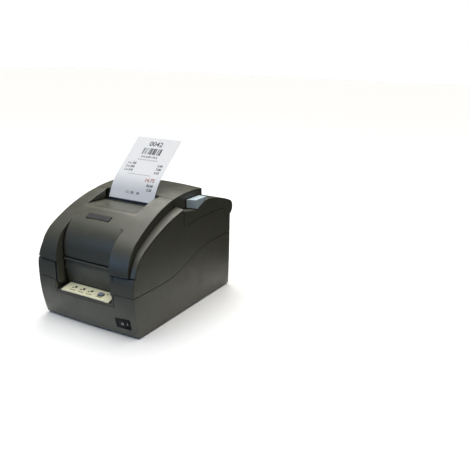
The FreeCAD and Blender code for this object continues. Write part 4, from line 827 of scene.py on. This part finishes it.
def hand_over(piece: Piece, body: Body | str, slot: Slot, finish: Finish) -> Piece:
    """Finishes a new piece.

    Args:
        piece: the piece.
        body: the body it rides on.
        slot: the record's slot that it belongs to; not used.
        finish: its finish.

    Returns:
        The piece.
    """
    Paintbox.dress(piece, finish)
    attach(piece, body.value if isinstance(body, Body) else body)
    return piece


def skin(node: str, slot: Slot, finish: Finish, edge: float) -> Piece:
    """Makes a softened copy that stands for a node.

    Args:
        node: the node's name.
        slot: the record's slot.
        finish: the finish.
        edge: the rounding of sharp edges, or 0 for none.

    Returns:
        The copy.
    """
    source = frame["nodes"][node]
    Workshop.pick(source)
    bpy.ops.object.duplicate(linked=False)
    bpy.ops.object.parent_clear(type="CLEAR_KEEP_TRANSFORM")
    piece = Workshop.settle(f"{node}_skin")
    del piece["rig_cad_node"]
    Workshop.everything(piece)
    bpy.ops.mesh.remove_doubles(threshold=WELD * MM)
    bpy.ops.mesh.customdata_custom_splitnormals_clear()
    bpy.ops.mesh.dissolve_degenerate(threshold=WELD * MM)
    bpy.ops.mesh.dissolve_limited(angle_limit=math.radians(FLAT))
    Workshop.close_edit()
    if edge:
        Workshop.soften(piece, edge)
        Workshop.confine(piece, source)
    Workshop.smooth(piece)
    hand_over(piece, source["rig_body"], slot, finish)
    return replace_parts(piece, node)


@dataclass
class Housing:
    """The four moulded shells, the bare badge and the lip under the bulge."""

    edge: float = 0.45
    badge_size: Triple = (38.0, 8.4, 0.9)
    badge_place: Pair = (-3.5, -80.0)
    badge_rim: float = 0.7
    badge_sink: float = 0.25
    badge_hollow: float = 0.2
    badge_round: float = 0.12
    badge_sharp: float = 20.0
    # The height from which the badge's seat is sought.
    badge_probe: float = 200.0
    lip_centre: Triple = (0.0, -106.7, 85.2)
    lip_size: Triple = (86.0, 2.4, 2.8)
    lip_round: float = 1.1
    lip_steps: int = 4

    def build(self) -> Iterator[Piece]:
        """Builds the shells.

        Yields:
            Each piece.
        """
        yield skin("lower_case", Slot.CASE, CASE_PLASTIC, self.edge)
        yield skin("upper_case", Slot.CASE, CASE_PLASTIC, self.edge)
        cover = skin("front_cover", Slot.COVER, COVER_PLASTIC, self.edge)
        yield cover
        yield skin("rear_cover", Slot.COVER, COVER_PLASTIC, self.edge)
        yield self.badge(cover)
        yield self.lip()

    def lip(self) -> Piece:
        """Makes the rounded lip under the front cover's bulge.

        Returns:
            The lip.
        """
        lip = Workshop.block("recess_lip", self.lip_centre, self.lip_size)
        Workshop.soften(lip, self.lip_round, self.lip_steps)
        Workshop.smooth(lip)
        return hand_over(lip, Body.CASE, Slot.CASE, CASE_PLASTIC)

    def badge(self, cover: Piece) -> Piece:
        """Makes the bare badge plate.

        Args:
            cover: the front cover, which carries it.

        Returns:
            The plate.
        """
        start = Vector((*self.badge_place, self.badge_probe))
        point, normal = Workshop.hit(cover, start, Vector((0.0, 0.0, -1.0)))
        slope = math.atan2(-normal.y, normal.z)
        thick = self.badge_size[2]
        centre = point + normal * (thick / 2 - self.badge_sink)
        plate = Workshop.block("bare_badge", (0.0, 0.0, 0.0), self.badge_size)
        Workshop.faces(plate, lambda facing: facing.z > UPWARD)
        bpy.ops.mesh.inset(thickness=self.badge_rim * MM)
        bpy.ops.transform.translate(value=(0.0, 0.0, -self.badge_hollow * MM))
        Workshop.close_edit()
        Workshop.soften(plate, self.badge_round, angle=self.badge_sharp)
        plate.rotation_euler = (slope, 0.0, 0.0)
        plate.location = centre * MM
        Workshop.pick(plate)
        plate = Workshop.settle("bare_badge")
        Workshop.smooth(plate)
        return hand_over(plate, Body.FRONT_LID, Slot.COVER, BADGE_PLASTIC)


@dataclass
class FrontPanel:
    """The cream panel with lamps, button and generic marks."""

    edge: float = 0.35
    slope: float = math.radians(11.9)
    front: float = -118.2
    front_height: float = 46.1
    lamp_places: Triple = (-23.8, -10.2, 3.4)
    button_place: float = 20.0
    mark_row: float = -113.6
    mark_size: Triple = (1.5, 1.3, 0.06)
    mark_step: float = 1.9
    icon_shift: float = -3.6
    icon_row: float = -109.2
    icon_size: Triple = (2.6, 2.0, 0.06)
    marks_each: int = 5
    dot_place: Pair = (27.5, -104.5)
    dot_size: Triple = (2.0, 2.0, 0.06)

    def height(self, along: float) -> float:
        """Returns the height of the panel's face at a place along Y."""
        return self.front_height + (along - self.front) * math.tan(self.slope)

    def build(self) -> Iterator[Piece]:
        """Builds the panel.

        Yields:
            Each piece.
        """
        yield skin("control_panel", Slot.PANEL, PANEL_PLASTIC, self.edge)
        yield skin("feed_button", Slot.BUTTON, BUTTON_PLASTIC, self.edge)
        yield skin("status_lamps", Slot.LAMPS, LENS, 0.0)
        yield self.marks()

    def marks(self) -> Piece:
        """Makes the printed marks.

        Returns:
            All the marks as one piece.
        """
        bars = []
        for middle in (*self.lamp_places, self.button_place):
            for count in range(self.marks_each):
                across = middle + (count - (self.marks_each - 1) / 2) * self.mark_step
                bars.append(self.mark(across, self.mark_row, self.mark_size))
        for lamp in self.lamp_places:
            bars.append(self.mark(lamp + self.icon_shift, self.icon_row, self.icon_size))
        bars.append(self.mark(*self.dot_place, self.dot_size))
        piece = Workshop.join("panel_marks", bars)
        return hand_over(piece, Body.CASE, Slot.PANEL, MARK_INK)

    def mark(self, across: float, along: float, size: Triple) -> Piece:
        """Returns a mark at a place along X and Y, with its lengths."""
        centre = (across, along, self.height(along))
        return Workshop.ink_bar("panel_mark", centre, size, (self.slope, 0.0, 0.0))


@dataclass
class PowerSwitch:
    """The rocker with its O and I."""

    edge: float = 0.3
    centre: Triple = (58.5, -113.155, 19.5)
    # How far the wall round the switch leans forward.
    lean: float = math.asin(0.2325)
    ring_side: float = -0.5
    bar_side: float = 6.3
    ring_radius: float = 1.7
    ring_hole: float = 1.15
    ring_steps: int = 32
    bar_size: Pair = (0.6, 3.4)
    ink: float = 0.05
    # The distance from which a mark's seat is sought.
    reach: float = 40.0

    def build(self) -> Iterator[Piece]:
        """Builds the switch.

        Yields:
            Each piece.
        """
        yield skin("switch_bezel", Slot.SWITCH, SWITCH_PLASTIC, self.edge)
        rocker = skin("power_rocker", Slot.SWITCH, SWITCH_PLASTIC, self.edge)
        yield rocker
        yield self.seat(self.ring(), rocker, self.ring_side)
        yield self.seat(self.bar(), rocker, self.bar_side)

    def ring(self) -> Piece:
        """Makes the flat O.

        Returns:
            The ring, lying at the origin.
        """
        bpy.ops.mesh.primitive_circle_add(
            vertices=self.ring_steps, radius=self.ring_radius * MM, fill_type="NGON")
        ring = Workshop.settle("switch_off_ring")
        Workshop.everything(ring)
        bpy.ops.mesh.inset(thickness=(self.ring_radius - self.ring_hole) * MM)
        bpy.ops.mesh.delete(type="FACE")
        bpy.ops.mesh.select_all(action="SELECT")
        bpy.ops.mesh.extrude_region_move(TRANSFORM_OT_translate={"value": (0.0, 0.0, self.ink * MM)})
        Workshop.close_outward()
        return ring

    def bar(self) -> Piece:
        """Returns the I, lying at the origin."""
        return Workshop.ink_bar("switch_on_bar", (0.0, 0.0, self.ink / 2), (*self.bar_size, self.ink))

    def seat(self, mark: Piece, rocker: Piece, side: float) -> Piece:
        """Lays a mark on the rocker's face.

        Args:
            mark: the mark, lying at the origin.
            rocker: the rocker.
            side: its place along X from the switch's middle.

        Returns:
            The mark in place.
        """
        out = Vector((0.0, -math.cos(self.lean), -math.sin(self.lean)))
        start = Vector(self.centre) + Vector((side, 0.0, 0.0)) + out * self.reach
        point, normal = Workshop.hit(rocker, start, -out)
        upright = Vector((0.0, -math.sin(self.lean), math.cos(self.lean)))
        across = upright.cross(normal).normalized()
        upright = normal.cross(across)
        mark.rotation_euler = Matrix((across, upright, normal)).transposed().to_euler()
        mark.location = point * MM
        Workshop.pick(mark)
        Workshop.settle(mark.name)
        return hand_over(mark, Body.ROCKER, Slot.SWITCH, WHITE_INK)


class Ribbon(Enum):
    """The two colours of the ribbon."""

    BLACK = "black"
    RED = "red"


@dataclass(frozen=True)
class PrintLine:
    """One line of generic print on the receipt."""

    along: float
    across: float
    height: float
    text: str
    align: str = "CENTER"
    ribbon: Ribbon = Ribbon.BLACK


@dataclass
class Receipt:
    """The sheet that stands out of the exit, with generic print."""

    width: float = 76.0
    thick: float = 0.14
    start: Pair = (-20.6, 139.5)
    rise: float = 7.5
    # Each bend: its radius, its sweep in degrees and the straight stretch after it.
    bends: tuple[Triple, ...] = ((12.0, 24.0, 11.5), (60.0, 24.0, 65.7))
    steps: int = 150
    columns: int = 12
    lift: float = 0.2
    ink: float = 0.16
    bars: str = "2113121412213112412113221141"
    bar_unit: float = 0.62
    bar_span: Pair = (85.0, 96.0)
    bold: float = 0.14
    # The height of a figure as a share of the text's size, and the steps of its curves.
    figure_share: float = 0.7
    curve_steps: int = 3
    lines: tuple[PrintLine, ...] = (
        PrintLine(100.0, 0.0, 8.0, "0042"),
        PrintLine(79.0, 0.0, 3.0, "2 41 0 07 119 3"),
        PrintLine(72.5, 0.0, 3.2, "* * * * * * * * * * *"),
        PrintLine(66.0, -30.0, 3.4, "1 x 104", "LEFT"),
        PrintLine(66.0, 30.0, 3.4, "3.50", "RIGHT"),
        PrintLine(60.0, -30.0, 3.4, "2 x 220", "LEFT"),
        PrintLine(60.0, 30.0, 3.4, "7.00", "RIGHT"),
        PrintLine(54.0, -30.0, 3.4, "1 x 318", "LEFT"),
        PrintLine(54.0, 30.0, 3.4, "4.25", "RIGHT"),
        PrintLine(48.5, 0.0, 3.0, "- - - - - - - - - - - - - - -"),
        PrintLine(40.0, 30.0, 5.4, "14.75", "RIGHT", Ribbon.RED),
        PrintLine(33.0, 30.0, 3.4, "20.00", "RIGHT"),
        PrintLine(27.0, 30.0, 3.4, "5.25", "RIGHT"),
        PrintLine(20.5, 0.0, 3.2, "11 : 20    04"),
    )

    def place(self, across: float, along: float, lift: float) -> Vector:
        """Finds a point on the curved sheet.

        Args:
            across: the place across the sheet.
            along: the distance from the sheet's lower end.
            lift: the height over the sheet's middle, towards the print.

        Returns:
            The point.
        """
        y, z = self.start
        heading = math.pi / 2
        left = along
        move = min(left, self.rise)
        z += move
        left -= move
        for radius, sweep, straight in self.bends:
            turn = min(left / radius, math.radians(sweep))
            y += radius * (math.sin(heading) - math.sin(heading - turn))
            z += radius * (math.cos(heading - turn) - math.cos(heading))
            heading -= turn
            left -= turn * radius
            move = min(left, straight)
            y += move * math.cos(heading)
            z += move * math.sin(heading)
            left -= move
        return Vector((across, y - lift * math.sin(heading), z + lift * math.cos(heading)))

    @property
    def length(self) -> float:
        """Returns the length of the sheet."""
        curved = (radius * math.radians(sweep) + straight for radius, sweep, straight in self.bends)
        return self.rise + sum(curved)

    def build(self) -> Iterator[Piece]:
        """Builds the sheet and its print.

        Yields:
            Each piece.
        """
        yield self.sheet()
        for ribbon, ink in ((Ribbon.BLACK, BLACK_INK), (Ribbon.RED, RED_INK)):
            parts = [self.line(line) for line in self.lines if line.ribbon is ribbon]
            if ribbon is Ribbon.BLACK:
                parts.extend(self.barcode())
            print_piece = Workshop.join(f"receipt_print_{ribbon.value}", parts)
            self.wrap(print_piece, self.lift)
            Workshop.thicken(print_piece, self.ink, -1.0)
            yield hand_over(print_piece, Body.REAR_LID, Slot.PAPER, ink)

    def wrap(self, piece: Piece, lift: float) -> None:
        """Bends a flat piece round the sheet.

        Args:
            piece: the piece, flat, with X across and Y along.
            lift: its height over the sheet's middle.
        """
        for point in piece.data.vertices:
            flat = point.co / MM
            point.co = self.place(flat.x, flat.y, lift + flat.z) * MM

    def sheet(self) -> Piece:
        """Makes the paper.

        Returns:
            The sheet.
        """
        bpy.ops.mesh.primitive_grid_add(
            x_subdivisions=self.columns, y_subdivisions=self.steps, size=1.0,
            location=(0.0, self.length / 2 * MM, 0.0))
        bpy.context.active_object.scale = (self.width * MM, self.length * MM, 1.0)
        sheet = Workshop.settle("receipt_sheet")
        self.wrap(sheet, 0.0)
        Workshop.thicken(sheet, self.thick, 0.0)
        Workshop.smooth(sheet)
        hand_over(sheet, Body.REAR_LID, Slot.PAPER, PAPER)
        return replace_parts(sheet, "receipt")

    def line(self, line: PrintLine) -> Piece:
        """Sets one line of print, flat.

        Args:
            line: what it says and where.

        Returns:
            The line as a mesh.
        """
        bpy.ops.object.text_add(location=(line.across * MM, line.along * MM, 0.0))
        text = bpy.context.active_object
        text.data.body = line.text
        text.data.size = line.height * MM / self.figure_share
        text.data.align_x = line.align
        text.data.resolution_u = self.curve_steps
        text.data.offset = self.bold * MM
        bpy.ops.object.convert(target="MESH")
        return Workshop.settle("print_line")

    def barcode(self) -> list[Piece]:
        """Makes the bars of a code that stands for nothing.

        Returns:
            The bars, flat.
        """
        low, high = self.bar_span
        total = sum(int(unit) for unit in self.bars) * self.bar_unit
        across = -total / 2
        made = []
        for count, unit in enumerate(self.bars):
            width = int(unit) * self.bar_unit
            if count % 2 == 0:
                bpy.ops.mesh.primitive_plane_add(
                    size=1.0, location=((across + width / 2) * MM, (low + high) / 2 * MM, 0.0))
                bpy.context.active_object.scale = (width * MM, (high - low) * MM, 1.0)
                made.append(Workshop.settle("print_bar"))
            across += width
        return made


@dataclass
class TearBar:
    """The toothed blade at the paper exit, on its foot; being dark and tall, it also stands for painted
    shade in the paper slot.
    """

    half: float = 40.5
    edge: float = -21.1
    floor: float = 147.6
    height: float = 4.0
    thick: float = 0.8
    foot_depth: float = 4.0
    # The fall of the cover's top towards the exit.
    fall: float = math.atan(1.2 / 46.9)
    pitch: float = 1.5
    tooth: float = 0.9
    # The width of a tooth's tip as a share of its foot.
    point: float = 0.12
    sink: float = 0.1
    weld: float = 0.01

    def build(self) -> Iterator[Piece]:
        """Builds the bar.

        Yields:
            The bar.
        """
        bar = Workshop.join("tear_bar_teeth", [self.foot(), self.blade()])
        hand_over(bar, Body.FRONT_LID, Slot.STEEL, BLADE_STEEL_AND_SLOT_SHADE)
        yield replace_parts(bar, "tear_bar")

    def foot(self) -> Piece:
        """Makes the flat foot.

        Returns:
            The foot.
        """
        depth = self.foot_depth - self.thick
        along = self.edge - self.thick - depth / 2
        low = self.floor + (self.edge - along) * math.tan(self.fall)
        size = (2 * self.half - 2 * self.sink, depth, self.thick - 2 * self.sink)
        centre = (0.0, along, low + self.thick / 2)
        foot = Workshop.block("tear_bar_foot", centre, size, (-self.fall, 0.0, 0.0))
        Workshop.soften(foot, self.sink)
        return foot

    def blade(self) -> Piece:
        """Makes the blade as a row of teeth.

        Returns:
            The blade.
        """
        count = round(2 * self.half / self.pitch)
        step = 2 * self.half / count
        centre = (step / 2 - self.half, self.edge - self.thick / 2, self.floor + self.height / 2)
        blade = Workshop.block("tear_bar_blade", centre, (step, self.thick, self.height))
        Workshop.faces(blade, lambda facing: facing.z > UPWARD)
        bpy.ops.transform.translate(value=(0.0, 0.0, -self.tooth * MM))
        bpy.ops.mesh.extrude_region_move(TRANSFORM_OT_translate={"value": (0.0, 0.0, self.tooth * MM)})
        bpy.ops.transform.resize(value=(self.point, self.point, 1.0))
        Workshop.close_edit()
        Workshop.faces(blade, lambda facing: abs(facing.x) > SIDEWAYS)
        bpy.ops.mesh.delete(type="FACE")
        Workshop.close_edit()
        Workshop.modify(
            blade, "ARRAY", count=count, use_relative_offset=False, use_constant_offset=True,
            constant_offset_displace=(step * MM, 0.0, 0.0), use_merge_vertices=True,
            merge_threshold=self.weld * MM)
        Workshop.everything(blade)
        bpy.context.tool_settings.mesh_select_mode = (False, True, False)
        bpy.ops.mesh.select_all(action="DESELECT")
        bpy.ops.mesh.select_non_manifold()
        bpy.ops.mesh.edge_face_add()
        Workshop.close_outward()
        return blade


@dataclass
class Fittings:
    """The lever, the feet, the works and all that stays as the frame has it."""

    softened: tuple[tuple[str, Slot, Finish, float], ...] = (
        ("open_lever", Slot.LEVER, LEVER_PLASTIC, 0.8),
        ("rubber_feet", Slot.RUBBER, FOOT_RUBBER, 0.6),
        ("ribbon_cassette", Slot.INNER, INNER_PLASTIC, 0.6),
        ("ribbon_knob", Slot.INNER, INNER_PLASTIC, 0.3),
        ("roll_bucket", Slot.INNER, INNER_PLASTIC, 0.4),
        ("carriage_motor", Slot.MOTOR, MOTOR_SHELL, 0.5),
        ("feed_motor", Slot.MOTOR, MOTOR_SHELL, 0.5),
        ("data_port", Slot.PORTS, PORT_PLASTIC, 0.25),
        ("power_port", Slot.PORTS, PORT_PLASTIC, 0.25),
        ("drawer_port", Slot.PORTS, PORT_PLASTIC, 0.25),
    )
    plain: tuple[tuple[Finish, Slot, tuple[str, ...]], ...] = (
        (STEEL, Slot.STEEL, (
            "case_screws", "mech_frame", "carriage_shaft", "guide_rod", "platen_bar", "front_hinge_pins",
            "rear_hinge_pins", "latch_posts", "latch_shaft", "latch_hooks", "feed_shaft", "pinch_bracket")),
        (INNER_PLASTIC, Slot.INNER, (
            "paper_guide", "ribbon_strip", "carriage", "drive_pulley", "idler_pulley")),
        (HEAD_METAL, Slot.HEAD, ("print_head",)),
        (BELT_RUBBER, Slot.RUBBER, ("carriage_belt", "feed_tires", "pinch_roller")),
        (BOARD, Slot.BOARD, ("main_board", "panel_board")),
        (PAPER, Slot.PAPER, ("paper_roll", "paper_web")),
        (CARD, Slot.CARD, ("roll_core",)),
    )

    def build(self) -> Iterator[Piece]:
        """Dresses the nodes.

        Yields:
            Each piece.
        """
        for name, slot, finish, edge in self.softened:
            yield skin(name, slot, finish, edge)
        for finish, slot, nodes in self.plain:
            for name in nodes:
                node = frame["nodes"][name]
                Paintbox.dress(node, finish)
                yield node


@dataclass(frozen=True)
class SoftLamp:
    """A square lamp, with its place and side in metres and its power in watts."""

    name: str
    place: Triple
    side: float
    power: float
    colour: Colour


@dataclass
class Studio:
    """The floor, the light and the camera."""

    # The floor's side, the point that the lamps face and the reach of the bounce are in metres.
    floor_side: float = 14.0
    floor_roughness: float = 0.9
    floor_specular: float = 0.1
    yaw: float = math.radians(28.99)
    pitch: float = math.radians(17.63)
    roll: float = math.radians(1.33)
    camera_place: Triple = (497.6, -622.7, 348.6)
    # The focal length and the picture's width in pixels of the photograph.
    focal: float = 581.6
    picture: float = 470.0
    sensor: float = 36.0
    aim: Triple = (0.0, 0.0, 0.08)
    # The sky's colours, each with the height of the direction that has it.
    sky: tuple[tuple[float, Colour], ...] = (
        (0.0, (0.004, 0.006, 0.008)), (0.68, (0.004, 0.004, 0.004)), (0.935, (1.0, 0.99, 0.95)))
    sky_strength: float = 3.3
    backdrop: Colour = (1.0, 1.0, 1.0)
    pale: Colour = (0.9, 0.9, 0.91)
    bounce_reach: Pair = (0.15, 0.26)
    bounce: Pair = (1.0, 0.02)
    lamps: tuple[SoftLamp, ...] = (
        SoftLamp("key", (-0.5, 0.7, 1.2), 0.8, 7.8, (1.0, 0.965, 0.89)),
        SoftLamp("front_fill", (-0.6, -1.8, 0.45), 1.1, 8.0, (0.22, 0.5, 1.0)),
    )

    def build(self) -> None:
        """Builds the studio."""
        self.floor()
        self.world()
        for lamp in self.lamps:
            self.hang(lamp)
        self.camera()

    def floor(self) -> None:
        """Lays a pale floor, which throws less light on the object the farther it is away."""
        bpy.ops.mesh.primitive_plane_add(size=self.floor_side)
        floor = Workshop.settle("floor")
        bench = NodeBench("pale_floor")
        away = bench.add("ShaderNodeVectorMath", operation="LENGTH")
        bench.wire(bench.place, away.inputs[0])
        bounce = bench.span(away.outputs["Value"], *self.bounce_reach, *self.bounce)
        seen = bench.add("ShaderNodeLightPath").outputs["Is Camera Ray"]
        bench.drive("Base Color", bench.over(seen, bounce, self.pale))
        bench.fix(Roughness=self.floor_roughness, Specular_IOR_Level=self.floor_specular)
        floor.data.materials.append(bench.material)

    def world(self) -> None:
        """Makes a soft sky that is bright above and white behind the object."""
        world = bpy.data.worlds.new("studio")
        world.use_nodes = True
        tree = world.node_tree
        sky = tree.nodes["Background"]
        place = tree.nodes.new("ShaderNodeTexCoord")
        split = tree.nodes.new("ShaderNodeSeparateXYZ")
        ramp = tree.nodes.new("ShaderNodeValToRGB")
        ramp.color_ramp.elements.new(self.sky[1][0])
        for stop, (at, colour) in zip(ramp.color_ramp.elements, self.sky):
            stop.position = at
            stop.color = (*colour, 1.0)
        sky.inputs["Strength"].default_value = self.sky_strength
        white = tree.nodes.new("ShaderNodeBackground")
        white.inputs["Color"].default_value = (*self.backdrop, 1.0)
        path = tree.nodes.new("ShaderNodeLightPath")
        mix = tree.nodes.new("ShaderNodeMixShader")
        links = tree.links
        links.new(place.outputs["Generated"], split.inputs[0])
        links.new(split.outputs["Z"], ramp.inputs["Fac"])
        links.new(ramp.outputs["Color"], sky.inputs["Color"])
        links.new(path.outputs["Is Camera Ray"], mix.inputs["Fac"])
        links.new(sky.outputs["Background"], mix.inputs[1])
        links.new(white.outputs["Background"], mix.inputs[2])
        links.new(mix.outputs["Shader"], tree.nodes["World Output"].inputs["Surface"])
        bpy.context.scene.world = world
        bpy.context.scene.view_settings.view_transform = "Standard"

    def hang(self, lamp: SoftLamp) -> None:
        """Hangs a lamp so that it points at the object.

        Args:
            lamp: the lamp.
        """
        bpy.ops.object.light_add(type="AREA", location=lamp.place)
        light = bpy.context.active_object
        light.name = lamp.name
        light.data.size = lamp.side
        light.data.energy = lamp.power
        light.data.color = lamp.colour
        light.rotation_euler = (Vector(self.aim) - Vector(lamp.place)).to_track_quat("-Z", "Y").to_euler()

    def camera(self) -> None:
        """Sets the camera up at the photograph's angle."""
        bpy.ops.object.camera_add(location=Vector(self.camera_place) * MM)
        camera = bpy.context.active_object
        camera.name = "photo_camera"
        level = Euler((math.pi / 2 - self.pitch, 0.0, self.yaw)).to_quaternion()
        camera.rotation_euler = (level @ Quaternion((0.0, 0.0, 1.0), self.roll)).to_euler()
        camera.data.sensor_width = self.sensor
        camera.data.lens = self.focal / self.picture * self.sensor
        bpy.context.scene.camera = camera


def main() -> None:
    """Builds the object and the studio in order."""
    logging.basicConfig(level=logging.INFO, format="%(message)s")
    for assembly in (Housing(), FrontPanel(), PowerSwitch(), Receipt(), TearBar(), Fittings()):
        for piece in assembly.build():
            LOG.info("%s: %s", type(assembly).__name__, piece.name)
    Studio().build()


if __name__ == "__main__":
    main()
